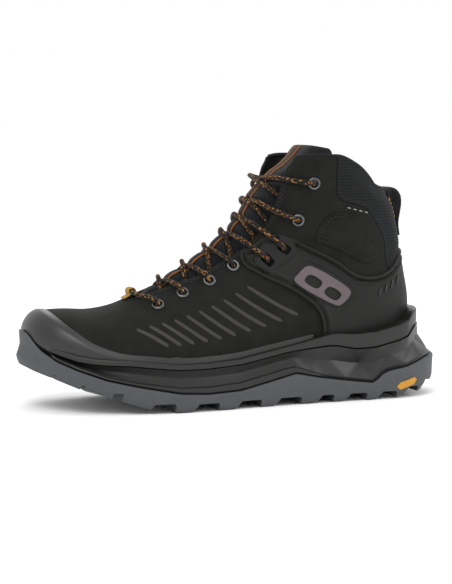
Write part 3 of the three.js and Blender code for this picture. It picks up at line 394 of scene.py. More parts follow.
def tubeMesh(name, path, radius, sides, taper=None, relief=None):
    path = np.asarray(path, float)
    tangents = unit(np.gradient(path, axis=0))
    side = np.cross(tangents[0], [0.0, 0.3, 1.0])
    side /= np.linalg.norm(side)
    run = runAlong(path)
    angles = np.arange(sides) * fullTurn / sides
    points, uv = [], []
    for i, tangent in enumerate(tangents):
        side = side - tangent * np.dot(side, tangent)
        side /= np.linalg.norm(side)
        other = np.cross(tangent, side)
        size = radius if taper is None else radius * taper(run[i] / run[-1])
        sizes = size + (relief(angles, run[i]) if relief else 0 * angles)
        ring = np.cos(angles)[:, None] * side + np.sin(angles)[:, None] * other
        points.append(path[i] + ring * sizes[:, None])
        uv.append(np.stack([angles / fullTurn, np.full(sides, run[i])], 1))
    count = len(path)
    faces = ringFaces(count, sides, capped=False)
    points.append(path[:1])
    points.append(path[-1:])
    uv.append(np.array([[0.5, 0], [0.5, run[-1]]]))
    hub = count * sides
    for k in range(sides):
        n = (k + 1) % sides
        faces.append([hub, n, k])
        faces.append([hub + 1, (count - 1) * sides + k, (count - 1) * sides + n])
    return makeMesh(name, np.vstack(points), faces, 60, np.vstack(uv))


def loftMesh(name, rings, sharp, capped=True):
    rings = np.asarray(rings, float)
    return makeMesh(name, rings.reshape(-1, 3), ringFaces(*rings.shape[:2], 0, capped), sharp)


# Materials
def linear(code):
    parts = [int(code[i:i + 2], 16) / 255 for i in (1, 3, 5)]
    return [p / 12.92 if p <= 0.04045 else ((p + 0.055) / 1.055) ** 2.4 for p in parts] + [1]


def perMm(size):
    return 1000 / size  # object coordinates are metres, so a pattern of this many millimetres has this scale


def addNode(tree, kind, settings=None, links=None):
    node = tree.nodes.new("ShaderNode" + kind)
    for key, value in (settings or {}).items():
        if isinstance(key, str) and hasattr(node, key):
            setattr(node, key, value)
        else:
            node.inputs[key].default_value = value
    for key, source in (links or {}).items():
        tree.links.new(source, node.inputs[key])
    return node


def newMaterial(name, **shader):
    made = bpy.data.materials.new(name)
    made.use_nodes = True
    tree = made.node_tree
    principled = next(n for n in tree.nodes if n.type == "BSDF_PRINCIPLED")
    for key, value in shader.items():
        principled.inputs[key.replace("_", " ")].default_value = value
    return made, tree, principled


def mixColours(tree, factor, low, high):
    ramp = addNode(tree, "ValToRGB", links={"Fac": factor})
    ramp.color_ramp.elements[0].color = linear(low)
    ramp.color_ramp.elements[1].color = linear(high)
    return ramp


def finishWith(tree, principled, colour=None, roughness=None, height=None, distance=0.0002, strength=0.5):
    if colour is not None:
        tree.links.new(colour, principled.inputs["Base Color"])
    if roughness is not None:
        tree.links.new(roughness, principled.inputs["Roughness"])
    if height is not None:
        bump = addNode(tree, "Bump", {"Distance": distance, "Strength": strength}, {"Height": height})
        tree.links.new(bump.outputs["Normal"], principled.inputs["Normal"])


def nubuckLeather():
    # buffed hide: no gloss, a cloudy nap that reads a shade lighter where it is brushed, fine grain
    made, tree, shader = newMaterial("oiledNubuck", Roughness=0.82, IOR=1.45, Sheen_Weight=0.06,
                                      Sheen_Roughness=0.6, Specular_IOR_Level=0.22)
    shader.inputs["Sheen Tint"].default_value = linear("#7d8474")
    place = addNode(tree, "TexCoord").outputs["Object"]
    cloud = addNode(tree, "TexNoise", {"Scale": perMm(14), "Detail": 4, "Roughness": 0.6},
                    {"Vector": place})
    nap = addNode(tree, "TexNoise", {"Scale": perMm(1.1), "Detail": 3, "Roughness": 0.7}, {"Vector": place})
    both = addNode(tree, "Math", {"operation": "MULTIPLY_ADD", 1: 0.55},
                   {0: nap.outputs["Fac"], 2: cloud.outputs["Fac"]})
    tint = mixColours(tree, both.outputs[0], "#0a0b09", "#171813")
    tint.color_ramp.elements[0].position = 0.5
    tint.color_ramp.elements[1].position = 1.05
    grain = addNode(tree, "TexNoise", {"Scale": perMm(0.8), "Detail": 5, "Roughness": 0.75},
                    {"Vector": place})
    finishWith(tree, shader, tint.outputs["Color"], None, grain.outputs["Fac"], 0.00025, 0.55)
    return made


def coatedLeather():
    # nubuck pressed and coated over the heel: a little smoother than the vamp, with a pebbled skin
    made, tree, shader = newMaterial("pressedNubuck", Roughness=0.6, IOR=1.46, Sheen_Weight=0.04,
                                      Specular_IOR_Level=0.3)
    shader.inputs["Sheen Tint"].default_value = linear("#767b70")
    place = addNode(tree, "TexCoord").outputs["Object"]
    cloud = addNode(tree, "TexNoise", {"Scale": perMm(11), "Detail": 4, "Roughness": 0.6},
                    {"Vector": place})
    tint = mixColours(tree, cloud.outputs["Fac"], "#0c0d0b", "#151613")
    cell = addNode(tree, "TexVoronoi", {"Scale": perMm(0.9), "feature": "SMOOTH_F1"}, {"Vector": place})
    finishWith(tree, shader, tint.outputs["Color"], None, cell.outputs["Distance"], 0.00025, 0.35)
    return made


def mottledFinish(name, dark, light, patch, rough, grain, bump, **shader):
    # patch shades the colour and the roughness between their two ends, grain is the relief,
    # and bump is the relief's height in metres and its strength
    made, tree, principled = newMaterial(name, **shader)
    place = addNode(tree, "TexCoord").outputs["Object"]
    cloud = addNode(tree, "TexNoise", patch, {"Vector": place}).outputs["Fac"]
    tint = mixColours(tree, cloud, dark, light)
    level = addNode(tree, "MapRange", {"To Min": rough[0], "To Max": rough[1]}, {"Value": cloud})
    kind, settings, socket = grain
    relief = addNode(tree, kind, settings, {"Vector": place}).outputs[socket]
    finishWith(tree, principled, tint.outputs["Color"], level.outputs["Result"], relief, *bump)
    return made


ribPitch = 2.1  # millimetres from one ridge of the collar knit to the next


def ribbedKnit():
    # knitted rib of textured polyester: level ridges, wider apart than the yarn, so that they show; the
    # colour is darker in the valleys between the ridges, which is painted shade, over the yarn's random tone
    made, tree, shader = newMaterial("ribbedKnit", Roughness=0.9, IOR=1.5, Sheen_Weight=0.08,
                                      Sheen_Roughness=0.5, Specular_IOR_Level=0.25)
    shader.inputs["Sheen Tint"].default_value = linear("#8f979e")
    place = addNode(tree, "TexCoord").outputs["Object"]
    wobble = addNode(tree, "TexNoise", {"Scale": perMm(6), "Detail": 2}, {"Vector": place})
    split = addNode(tree, "SeparateXYZ", links={"Vector": place})
    lift = addNode(tree, "Math", {"operation": "MULTIPLY_ADD", 1: 0.0016},
                   {0: wobble.outputs["Fac"], 2: split.outputs["Z"]})
    turns = addNode(tree, "Math", {"operation": "MULTIPLY", 1: perMm(ribPitch) * fullTurn},
                    {0: lift.outputs[0]})
    wave = addNode(tree, "Math", {"operation": "SINE"}, {0: turns.outputs[0]})
    level = addNode(tree, "MapRange", {"From Min": -1.0}, {"Value": wave.outputs[0]})
    yarn = addNode(tree, "TexNoise", {"Scale": perMm(0.7), "Detail": 3}, {"Vector": place})
    blended = addNode(tree, "Math", {"operation": "MULTIPLY_ADD", 1: 0.6},
                   {0: yarn.outputs["Fac"], 2: level.outputs["Result"]})
    # painted shade: the rib's height sets the colour as well as the bump, so the valleys between ridges are
    # painted darker
    tint = mixColours(tree, blended.outputs[0], "#060606", "#18191a")
    tint.color_ramp.elements[1].position = 1.3 / 1.6
    finishWith(tree, shader, tint.outputs["Color"], None, blended.outputs[0], 0.0005, 0.8)
    return made


def wovenCloth(name, dark, light, thread, sheen=0.06, roughness=0.9):
    # plain weave: crossing threads drawn at the thread's width, with the colour lighter on the raised
    # crossings and darker on the low ones, which is painted shade, over a soft random tone
    made, tree, shader = newMaterial(name, Roughness=roughness, IOR=1.5, Sheen_Weight=sheen,
                                      Specular_IOR_Level=0.3)
    place = addNode(tree, "TexCoord").outputs["Object"]
    split = addNode(tree, "SeparateXYZ", links={"Vector": place})
    waves = []
    for first, second, scale in (("X", "Z", 1.0), ("Y", "Z", -1.0)):
        lean = addNode(tree, "Math", {"operation": "MULTIPLY_ADD", 1: scale},
                       {0: split.outputs[first], 2: split.outputs[second]})
        turns = addNode(tree, "Math", {"operation": "MULTIPLY", 1: perMm(thread) * fullTurn},
                        {0: lean.outputs[0]})
        waves.append(addNode(tree, "Math", {"operation": "SINE"}, {0: turns.outputs[0]}))
    crossed = addNode(tree, "Math", {"operation": "MULTIPLY"},
                      {0: waves[0].outputs[0], 1: waves[1].outputs[0]})
    level = addNode(tree, "MapRange", {"From Min": -1.0}, {"Value": crossed.outputs[0]})
    soft = addNode(tree, "TexNoise", {"Scale": perMm(7), "Detail": 4}, {"Vector": place})
    blended = addNode(tree, "Math", {"operation": "MULTIPLY_ADD", 1: 0.5},
                   {0: soft.outputs["Fac"], 2: level.outputs["Result"]})
    # painted shade: the weave's height sets the colour as well as the bump, so the low crossings are painted
    # darker
    tint = mixColours(tree, blended.outputs[0], dark, light)
    tint.color_ramp.elements[1].position = 0.95
    finishWith(tree, shader, tint.outputs["Color"], None, level.outputs["Result"], 0.0003, 0.7)
    return made


def braidedCord():
    # round polyester braid: dark yarn with flecks of orange and sand, one fleck a plait; each plait is
    # painted darker towards the grooves between plaits, which is painted shade
    made, tree, shader = newMaterial("braidedCord", Roughness=0.8, IOR=1.5, Sheen_Weight=0.05,
                                      Specular_IOR_Level=0.3)
    place = addNode(tree, "TexCoord").outputs["UV"]
    split = addNode(tree, "SeparateXYZ", links={"Vector": place})
    rounds, plait = 8, 1.7  # plaits round the cord, and millimetres along it for each
    turned = addNode(tree, "Math", {"operation": "MULTIPLY", 1: rounds}, {0: split.outputs["X"]})
    cells, waves = [], []
    for way in (1, -1):
        lean = addNode(tree, "Math", {"operation": "MULTIPLY_ADD", 1: way / plait},
                       {0: split.outputs["Y"], 2: turned.outputs[0]})
        cells.append(addNode(tree, "Math", {"operation": "FLOOR"}, {0: lean.outputs[0]}))
        half = addNode(tree, "Math", {"operation": "MULTIPLY", 1: math.pi}, {0: lean.outputs[0]})
        wave = addNode(tree, "Math", {"operation": "SINE"}, {0: half.outputs[0]})
        waves.append(addNode(tree, "Math", {"operation": "ABSOLUTE"}, {0: wave.outputs[0]}))
    cell = addNode(tree, "CombineXYZ", links={"X": cells[0].outputs[0], "Y": cells[1].outputs[0]})
    chance = addNode(tree, "TexWhiteNoise", {"noise_dimensions": "2D"}, {"Vector": cell.outputs["Vector"]})
    hue = addNode(tree, "ValToRGB", links={"Fac": chance.outputs["Value"]})
    hue.color_ramp.interpolation = "CONSTANT"
    stops = ((0, "#0b0a09"), (0.54, "#1c120a"), (0.68, "#8a5720"), (0.82, "#a87a3e"), (0.91, "#3d230c"))
    hue.color_ramp.elements.remove(hue.color_ramp.elements[1])
    for i, (at, code) in enumerate(stops):
        stop = hue.color_ramp.elements[0] if i == 0 else hue.color_ramp.elements.new(at)
        stop.position, stop.color = at, linear(code)
    # painted shade: the colour drops to a quarter of itself in the grooves between the plaits, where the
    # relief is lowest
    height = addNode(tree, "Math", {"operation": "MULTIPLY"},
                     {0: waves[0].outputs[0], 1: waves[1].outputs[0]})
    shade = addNode(tree, "MapRange", {"From Max": 0.35, "To Min": 0.25}, {"Value": height.outputs[0]})
    plaitGrooveShadedColour = addNode(tree, "VectorMath", {"operation": "SCALE"},
                  {0: hue.outputs["Color"], "Scale": shade.outputs["Result"]})
    finishWith(tree, shader, plaitGrooveShadedColour.outputs["Vector"], None, height.outputs[0], 0.0004, 0.9)
    return made


def gunMetal():
    # steel with a dark plated finish, brighter where the lace has rubbed the rim
    made, tree, shader = newMaterial("gunMetal", Metallic=1.0)
    place = addNode(tree, "TexCoord").outputs["Object"]
    rub = addNode(tree, "TexNoise", {"Scale": perMm(2.5), "Detail": 4}, {"Vector": place})
    tint = mixColours(tree, rub.outputs["Fac"], "#303132", "#77797a")
    rough = addNode(tree, "MapRange", {"To Min": 0.22, "To Max": 0.42}, {"Value": rub.outputs["Fac"]})
    finishWith(tree, shader, tint.outputs["Color"], rough.outputs["Result"])
    return made


def plainFinish(name, dark, light, patch, low, high, **shader):
    # one colour of plastic, board, foam or thread, with the slight shading that its grain gives
    grain = ("TexNoise", {"Scale": perMm(patch / 5), "Detail": 3}, "Fac")
    shade = {"Scale": perMm(patch), "Detail": 4}
    return mottledFinish(name, dark, light, shade, (low, high), grain, (0.0002, 0.4), **shader)


materials = {
    "nubuck": nubuckLeather(),
    "cage": coatedLeather(),
    # polyurethane film, heat moulded over the toe: a soft gloss with faint scuffs
    "film": mottledFinish(
        "mouldedFilm", "#0b0c0a", "#161714", {"Scale": perMm(5), "Detail": 6, "Roughness": 0.7}, (0.34, 0.52),
        ("TexNoise", {"Scale": perMm(0.7), "Detail": 2}, "Fac"), (0.0001, 0.2),
        IOR=1.5, Coat_Weight=0.15, Coat_Roughness=0.3),
    # compression-moulded EVA: a closed dark skin with a satin sheen on its edges
    "foam": mottledFinish(
        "mouldedFoam", "#0b0b0a", "#151513", {"Scale": perMm(9), "Detail": 5, "Roughness": 0.6}, (0.36, 0.5),
        ("TexVoronoi", {"Scale": perMm(0.6)}, "Distance"), (0.0001, 0.15), IOR=1.48),
    # outsole rubber, moulded: matt grey, dusty in its low places
    "rubber": mottledFinish(
        "mouldedRubber", "#37393c", "#46494c", {"Scale": perMm(8), "Detail": 6, "Roughness": 0.65},
        (0.55, 0.75), ("TexNoise", {"Scale": perMm(0.6), "Detail": 3}, "Fac"), (0.00015, 0.3), IOR=1.5),
    "knit": ribbedKnit(),
    "tongue": wovenCloth("tongueNylon", "#08090a", "#1a1c1e", 0.9),
    "lining": wovenCloth("linerKnit", "#34363a", "#6c6e72", 1.3),
    "mesh": wovenCloth("panelWeave", "#3c3537", "#665b5e", 0.9, 0.05, 0.6),
    "cord": braidedCord(),
    "metal": gunMetal(),
    "webbing": wovenCloth("narrowWebbing", "#0b0b0c", "#1f2023", 1.2),
    "gold": wovenCloth("goldWoven", "#6b470f", "#b58a35", 0.9, 0.05, 0.7),
    "orange": wovenCloth("orangeSelvedge", "#6b340d", "#9a5c20", 0.8, 0.05, 0.7),
    "print": plainFinish("printedBar", "#1e1a17", "#2b2622", 2.0, 0.55, 0.75),
    "thread": plainFinish("bondedThread", "#141513", "#2a2b28", 1.0, 0.7, 0.9),
    "yellow": plainFinish("mouldedYellow", "#a8720c", "#c68f1a", 2.0, 0.45, 0.6),
    "tip": plainFinish("shrunkTip", "#0c0c0c", "#181818", 2.0, 0.2, 0.35, Coat_Weight=0.3),
    "board": plainFinish("fibreBoard", "#6f6250", "#94846a", 2.0, 0.85, 0.95),
    "filler": plainFinish("corkFiller", "#5a4a33", "#8a7450", 1.5, 0.85, 0.95),
    "pad": plainFinish("cutFoam", "#2a2b2c", "#3c3d3f", 1.2, 0.9, 0.98),
    "pale": plainFinish("paleThread", "#808182", "#98999a", 1.0, 0.7, 0.85),
    "dashes": plainFinish("raisedInk", "#070707", "#101010", 2.0, 0.35, 0.5),
}
print("materials made")


def placePiece(piece, material, body="boot", stands=()):
    piece.data.materials.clear()
    piece.data.materials.append(materials[material])
    if body:
        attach(piece, body)
    if stands:
        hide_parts(*stands)
    return piece


# Lace: up through the eyelets from the first bar, under each flap and over the tongue
laceSet = {"radius": 1.65, "barStation": 7.85, "barDepth": 2.9, "inside": -5.2, "gap": 0.3, "step": 0.8}
laceHoles = [
    (8.54, 2.51, "eyelet"), (9.71, 2.52, "eyelet"), (10.96, 2.49, "eyelet"), (12.2, 2.48, "eyelet"),
    (13.63, 2.29, "slot"), (14.68, 2.25, "slot"), (17.03, 2.17, "eyelet"), (21.01, 1.96, "eyelet"),
]
throatEdge = [
    [7.3, 3.06], [7.6, 3], [8, 2.87], [9.75, 2.73], [10.45, 2.66], [12.8, 2.59], [15, 2.56], [16.5, 2.54],
    [19, 2.49], [21.5, 2.48], [22.3, 2.41], [25, 2.3],
]
outLow = [[0, -0.8], [0.25, -0.8], [0.5, -1.1], [0.75, -2.9], [1, -5.2], [1.3, -5.2]]
outHigh = [[0, 2.7], [0.25, 2.1], [0.5, 0.1], [0.75, -2.8], [1, -5.2], [1.3, -5.2]]
inLow = [[0, -0.8], [0.25, -0.4], [0.5, 0.5], [0.75, 1.7], [1, 2.5], [1.3, 2.6]]
inHigh = [[0, 2.7], [0.25, 2.7], [0.5, 2.7], [0.75, 2.8], [1, 2.6], [1.3, 2.6]]
leatherThick = 2.0
cageHeight = 2.3
eyeletTop = 1.6  # height of an eyelet's rim over the leather


def onGirth(station, girth, depth):
    beyond = float(turnBeyond(station, ridge, abs(girth)))
    return skinAt(station, beyond if girth < 0 else fullTurn - beyond, depth)


holeGirths = [float(girthOf(hole[0], hole[1])) for hole in laceHoles]


def standOn(station, turn, side):
    place = turn if side < 0 else fullTurn - turn
    centre, normal = skinAt(station, place, 0), skinNormal(station, place)
    upper = skinPoint(station + 0.05, place) - centre
    upper = upper - normal * np.dot(upper, normal)
    upper /= np.linalg.norm(upper)
    return centre, normal, upper, np.cross(upper, normal)


def holePoint(index, side, towards, radial, height):
    centre, normal, _, _ = standOn(laceHoles[index][0], laceHoles[index][1], side)
    flat = towards - centre
    flat = flat - normal * np.dot(flat, normal)
    return centre + flat / np.linalg.norm(flat) * radial + normal * height


def crossing(index, side, isHigh):
    start, stop = laceHoles[index], laceHoles[index + 1]
    made = []
    for share in (-1.15, -1, -0.75, -0.5, -0.25, 0, 0.25, 0.5, 0.75, 1, 1.15):
        middle = (start[0] + stop[0]) / 2
        girth = share * float(girthOf(middle, along(throatEdge, middle)))
        s = (girth + holeGirths[index]) / (holeGirths[index] + holeGirths[index + 1])
        station = start[0] + (stop[0] - start[0]) * s
        table = (outHigh if isHigh else outLow) if share < 0 else (inHigh if isHigh else inLow)
        trueShare = abs(girth) / float(girthOf(station, along(throatEdge, station)))
        overCage = share > 0 and index + 1 in (4, 5, 6)
        lift = 2.6 * smoothStep(0.2, 0.75, trueShare) if overCage else 0
        made.append(onGirth(station, -side * girth, along(table, trueShare) + lift))
    return made


def strand(startSide):
    side = startSide
    bar = onGirth(laceSet["barStation"], side * 6, laceSet["barDepth"])
    points = [bar, onGirth(laceSet["barStation"] + 0.15, side * 13, laceSet["barDepth"])]
    source = bar
    for i, hole in enumerate(laceHoles):
        rim = cageHeight if hole[2] == "slot" else eyeletTop
        dive = ((5.4, rim + 2.35), (3, rim + 2.3), (1.1, rim + 1.4), (0.1, rim - 0.2), (0, -leatherThick / 2))
        points += [holePoint(i, side, source, *each) for each in dive]
        if i == len(laceHoles) - 1:
            break
        path = crossing(i, side, i % 2 == (0 if startSide < 0 else 1))
        inner = laceSet["inside"]
        climb = ((0.1, -leatherThick - 0.9), (0.9, inner + 0.75), (2.7, inner - 0.05), (5.2, inner))
        points += [holePoint(i, side, path[3], *each) for each in climb]
        points += path
        source = path[-3]
        side = -side
    return points


braidSet = {"height": 0.13, "plaits": 3, "pitch": 2.4}


def braidRelief(angles, run):
    rounds, shift = braidSet["plaits"] * angles, run * math.pi / braidSet["pitch"]
    return braidSet["height"] * np.abs(np.sin(rounds + shift)) * np.abs(np.sin(rounds - shift))


def tipTaper(share):
    return 1 - 0.35 * smoothStep(0.93, 1, share) - 0.12 * smoothStep(0.05, 0, share)


strands = [strand(1), strand(-1)]
laceRoute = strands[1][::-1] + [onGirth(laceSet["barStation"], 0, laceSet["barDepth"])] + strands[0]
lacePath = evenly(smoothPath(laceRoute, laceSet["step"]), laceSet["step"])
laceCord = tubeMesh("laceCord", lacePath, laceSet["radius"] - 0.1, 16, relief=braidRelief)
placePiece(laceCord, "cord", stands=["lace"])

tailSet = {
    "route": [
        [52, 24.3, 141], [55.5, 25, 130], [60, 25.2, 112], [65, 25.2, 94], [69.5, 24.6, 76], [71, 23.6, 60],
        [67, 22.6, 48.5], [57, 21.8, 42.8], [44, 21.4, 40.2], [30, 21.2, 38.5],
    ],
    "tipEnd": [8, 20.8, 36.8], "tipLength": 22, "tipRadius": 1.5,
}
for side, label in bothSides:
    top = strands[0 if side < 0 else 1]
    into = (top[-1] - top[-2]) / np.linalg.norm(top[-1] - top[-2])
    start = top[-1] + into * laceSet["gap"]
    mirror = np.array([1, side, 1])
    route = [start, start + into * 2.4] + [np.array(p) * mirror for p in tailSet["route"]]
    tailPath = evenly(smoothPath(route, 1), 1)
    tail = tubeMesh("laceTail" + label.title(), tailPath, laceSet["radius"] - 0.05, 16)
    heading = np.array(tailSet["tipEnd"]) * mirror - tailPath[-1]
    heading /= np.linalg.norm(heading)
    tipLine = [tailPath[-1] + heading * (0.2 + tailSet["tipLength"] * k / 24) for k in range(25)]
    tip = tubeMesh("laceTip" + label.title(), tipLine, tailSet["tipRadius"], 20, taper=tipTaper)
    placePiece(tip, "tip", stands=["aglet_" + label])
    placePiece(tail, "cord", stands=["lace_tail_" + label])
print("cords made")


# Outlines of the upper's pieces, seen from the side (x, z)
lipLine = [
    [-145, 50], [-136, 44.5], [-130, 42], [-121, 39], [-111, 37.3], [-100, 36.5], [-88, 36], [-75, 34.5],
    [-55, 32.4], [-35, 32.4], [-10, 33.8], [11, 37.5], [37, 42.4], [57, 46.9], [64, 47.6], [78, 46.5],
    [94, 47.4], [105, 49.6], [113, 51.2], [121.5, 54], [126.5, 58.6], [130, 60.8], [138, 61.4],
]
collarLine = smoothPath([
    [-400, 163], [30.5, 163], [34, 168], [38, 169.7], [66, 169.5], [75, 166.4], [85.4, 161], [93, 154.6],
    [97.6, 149.5], [115, 146], [400, 140],
], 2)
vampSeam = smoothPath([
    [-20, 124], [-2, 108], [6, 101], [14, 92.5], [28, 84], [43, 77], [54, 68], [60, 58], [62, 40], [62, 0],
], 2)
vampZone = np.vstack([[[-400, 300], [-20, 300]], vampSeam, [[-400, 0]]])
textileSeam = smoothPath([
    [67, 200], [66.5, 145], [68.5, 140.5], [89.5, 133], [99, 122], [105, 111], [106, 99], [108, 92],
    [112, 89.5], [118, 93.5], [128, 99], [160, 103],
], 2)
textileZone = np.vstack([textileSeam, [[400, 103], [400, 200]]])
capEdge = smoothPath([
    [-136, 78], [-133.5, 69], [-127.7, 61], [-120, 54], [-111, 47.4], [-100, 42.6], [-88, 39.6], [-75, 38.4],
    [-55, 36.4], [-35, 36.4], [-10, 37.8], [11, 41.3], [30, 44.5], [48, 47.5],
], 2)
capZone = np.vstack([[[-400, 78]], capEdge, [[52, 30], [52, -400], [-400, -400]]])
cageZone = smoothPath([
    [-1, 99], [0.5, 104.5], [8, 108], [15, 113], [21, 115.8], [28, 116.2], [33.6, 115], [41, 110.8],
    [53, 105], [68, 97.2], [77, 90.7], [83, 87.5], [90.5, 86.2], [98, 86.5], [105, 88.5], [113.7, 94],
    [119.8, 100.5],
    [126, 104.5], [150, 108], [150, 36], [56, 36], [55.3, 47], [53.7, 58.4], [49.3, 65.5], [40.3, 72.7],
    [25.6, 81.3], [15.4, 85.7], [8, 90], [1, 94.5],
], 2, True)
patchZone = smoothPath([
    [52, 112], [53, 119], [57, 125], [64, 130.5], [74, 130], [86, 122], [97, 111], [100, 103], [92, 95],
    [82, 98], [72, 103], [62, 107.5],
], 2, True)
panelZone = smoothPath([
    [34.5, 84.5], [37.5, 88.5], [44.5, 94], [47.5, 94], [76, 76.5], [76, 73.5], [68, 66.5], [65, 66.5],
], 1.5, True)
panelWindows = [
    smoothPath([[42, 84], [46, 88], [55, 82.5], [51, 78.5]], 1.5, True),
    smoothPath([[56, 75.5], [60, 79.5], [69, 74], [65, 70]], 1.5, True),
]


def fromSide(points, zone):
    return insideBy(points[:, [0, 2]], zone)


def folded(turn):
    return np.where(turn > ridge, fullTurn - turn, turn)


def underCollar(points, less):
    return (along(collarLine, points[:, 0]) - points[:, 2]) * 0.96 - less


throatFoot = 7.6  # the station where the throat ends; past it, 14 mm to a station
stationLength = 14


def outsideThroat(station, turn):
    edge = girthOf(station, along(throatEdge, station))
    return np.maximum(girthOf(station, folded(turn)) - edge, (throatFoot - station) * stationLength)


eyeletClear = 3.4
slotRound = 1.5


def clearOfHoles(points, slotClear=(5.2, 3.8)):
    result = np.full(len(points), 99.0)
    for station, turn, kind in laceHoles:
        for side in (-1, 1):
            centre, normal, upper, across = standOn(station, turn, side)
            off = points - centre
            if kind == "eyelet":
                gap = np.linalg.norm(off, axis=1) - eyeletClear
            else:
                u = np.abs(off @ across) - slotClear[0] + slotRound
                v = np.abs(off @ upper) - slotClear[1] + slotRound
                outer = np.hypot(np.maximum(u, 0), np.maximum(v, 0))
                gap = outer + np.minimum(np.maximum(u, v), 0) - slotRound
                gap = np.where(np.linalg.norm(off, axis=1) > 20, 99, gap)
            result = np.minimum(result, gap)
    return result


def overLip(points, below):
    return points[:, 2] - along(lipLine, points[:, 0]) + below


def heelSeam(points):
    # the two sides meet at the middle line behind the heel
    return np.where(points[:, 0] > 90, np.abs(points[:, 1]) - 0.12, 99)


def sideTurns(side):
    return (0.0, ridge) if side < 0 else (ridge, fullTurn)


def vampField(station, turn, points):
    return np.minimum.reduce([
        fromSide(points, vampZone), outsideThroat(station, turn), clearOfHoles(points), overLip(points, 14)])


def quarterField(station, turn, points):
    return np.minimum.reduce([
        -fromSide(points, vampZone) - 0.3, -fromSide(points, textileZone) - 0.3, underCollar(points, 0.5),
        outsideThroat(station, turn), clearOfHoles(points), overLip(points, 14), heelSeam(points)])


def knitField(station, turn, points):
    return np.minimum.reduce([
        fromSide(points, textileZone), underCollar(points, 0.5), outsideThroat(station, turn),
        clearOfHoles(points)])


ovalTurns = (2.24, fullTurn - 2.24)  # an oval mark pressed into each flap between its top holes


def leatherHigh(station, turn, surface, inside):
    # the flap edge is turned and stitched, so it stands a little, with a pressed line behind it
    edge = outsideThroat(station, turn)
    near = np.where(station > throatFoot, edge, 99)
    away = [np.linalg.norm((surface - skinPoint(19.0, t)) * (1, 1, 1.35), axis=1) for t in ovalTurns]
    oval = np.minimum(*away)
    mark = 0.1 - 0.3 * ridgeAt(oval, 6.5, 0.7)
    return mark + 0.45 * ridgeAt(near, 1.6, 1.2) - 0.35 * ridgeAt(near, 4.2, 0.7)


def knitHigh(station, turn, surface, inside):
    puff = 1.7 * smoothStep(1, 12, inside)
    rib = 0.15 * np.sin(surface[:, 2] / ribPitch * fullTurn + 0.8 * np.sin(surface[:, 0] / 9))
    return puff + rib * smoothStep(0.5, 3, inside)


vampSpan = (0, 16, 0.085, 0.3, fullTurn - 0.3, 0.031)
vamp = skinShell("vampLeather", vampSpan, vampField, leatherHigh, -leatherThick)
placePiece(vamp, "nubuck", stands=["vamp"])
print("vamp made")
for side, label in bothSides:
    span = (11, lastSlice - 0.6, 0.085, *sideTurns(side), 0.031)
    quarter = skinShell("quarter" + label.title(), span, quarterField, leatherHigh, -leatherThick)
    placePiece(quarter, "nubuck", stands=["quarter_" + label])
knitSpan = (13, lastSlice - 0.6, 0.06, 0.0, fullTurn, 0.024)
knit = skinShell("collarKnit", knitSpan, knitField, knitHigh, -leatherThick)
placePiece(knit, "knit", stands=["collar_textile"])
print("quarters and collar made")


# Film over the toe and along the welt, heel cage, ankle patch and side panel
overlaySet = {"film": 2.1, "cage": cageHeight, "patch": 1.3, "panel": 2.9}


def capField(station, turn, points):
    return np.minimum(fromSide(points, capZone), overLip(points, 6))


def cageField(station, turn, points):
    return np.minimum.reduce([
        fromSide(points, cageZone), overLip(points, 6), clearOfHoles(points, (4.2, 2.9)), heelSeam(points)])


def capHigh(station, turn, surface, inside):
    return overlaySet["film"] * (0.45 + 0.55 * smoothStep(0, 5, inside))


def fromLug(points):
    # distance to the raised block round the two lace slots, on either side
    result = np.full(len(points), 99.0)
    for side in (-1, 1):
        a, b = [standOn(hole[0], hole[1], side)[0] for hole in laceHoles if hole[2] == "slot"]
        share = np.clip((points - a) @ (b - a) / np.dot(b - a, b - a), 0, 1)
        result = np.minimum(result, np.linalg.norm(points - a - share[:, None] * (b - a), axis=1))
    return result


def cageHigh(station, turn, surface, inside):
    edge, lug = fromSide(surface, cageZone), fromLug(surface)
    panel = -fromSide(surface, panelZone)
    bead = 0.8 * ridgeAt(edge, 1.4, 0.9) + 0.7 * ridgeAt(edge, 5.6, 0.8)
    groove = 1.1 * ridgeAt(edge, 3.5, 0.8) + 0.7 * ridgeAt(panel, 2.2, 0.7)
    block = 0.9 * smoothStep(8.0, 7.0, lug) - 0.7 * ridgeAt(lug, 9.2, 0.7)
    free = smoothStep(6.5, 9.5, lug)
    return overlaySet["cage"] - 0.6 + (bead - groove) * free + block


def patchHigh(station, turn, surface, inside):
    return overlaySet["patch"] - 0.2 - 0.5 * ridgeAt(inside, 2.6, 0.5) + 0.35 * smoothStep(3, 9, inside)


def patchField(station, turn, points):
    return fromSide(points, patchZone)


def panelField(station, turn, points):
    windows = [-fromSide(points, window) for window in panelWindows]
    return np.minimum.reduce([fromSide(points, panelZone)] + windows)


def evenAt(height):
    return lambda station, turn, surface, inside: height + 0 * station


cap = skinShell("toeCapFilm", (0, 14, 0.06, 0.3, fullTurn - 0.3, 0.028), capField, capHigh, 0.25)
placePiece(cap, "film", stands=["toe_cap_rand"])
for side, label in bothSides:
    turns = sideTurns(side)
    cage = skinShell("heelCage" + label.title(), (10, 23, 0.036, *turns, 0.015), cageField, cageHigh, 0.25)
    placePiece(cage, "cage", stands=["heel_cage_" + label])
    patch = skinShell("anklePatch" + label.title(), (15, 23, 0.05, *turns, 0.02), patchField, patchHigh, 0.25)
    placePiece(patch, "nubuck", stands=["ankle_patch_" + label])
    panel = skinShell("sidePanel" + label.title(), (11, 18, 0.03, *turns, 0.012), panelField,
                      evenAt(overlaySet["panel"]), 2.2, rim=0.4)
    placePiece(panel, "mesh", stands=["side_panel_" + label])
print("overlays made")


# Lining, seen inside the collar, and the bound edge over it
def liningField(station, turn, points):
    holeTurn = np.interp(station, [hole[0] for hole in laceHoles], [hole[1] for hole in laceHoles])
    cut = np.minimum(holeTurn, along(throatEdge, station) - 0.12)
    beside = girthOf(station, folded(turn)) - girthOf(station, cut) - 8
    return np.minimum(underCollar(points, 0.8), np.maximum(beside, (6.8 - station) * stationLength))


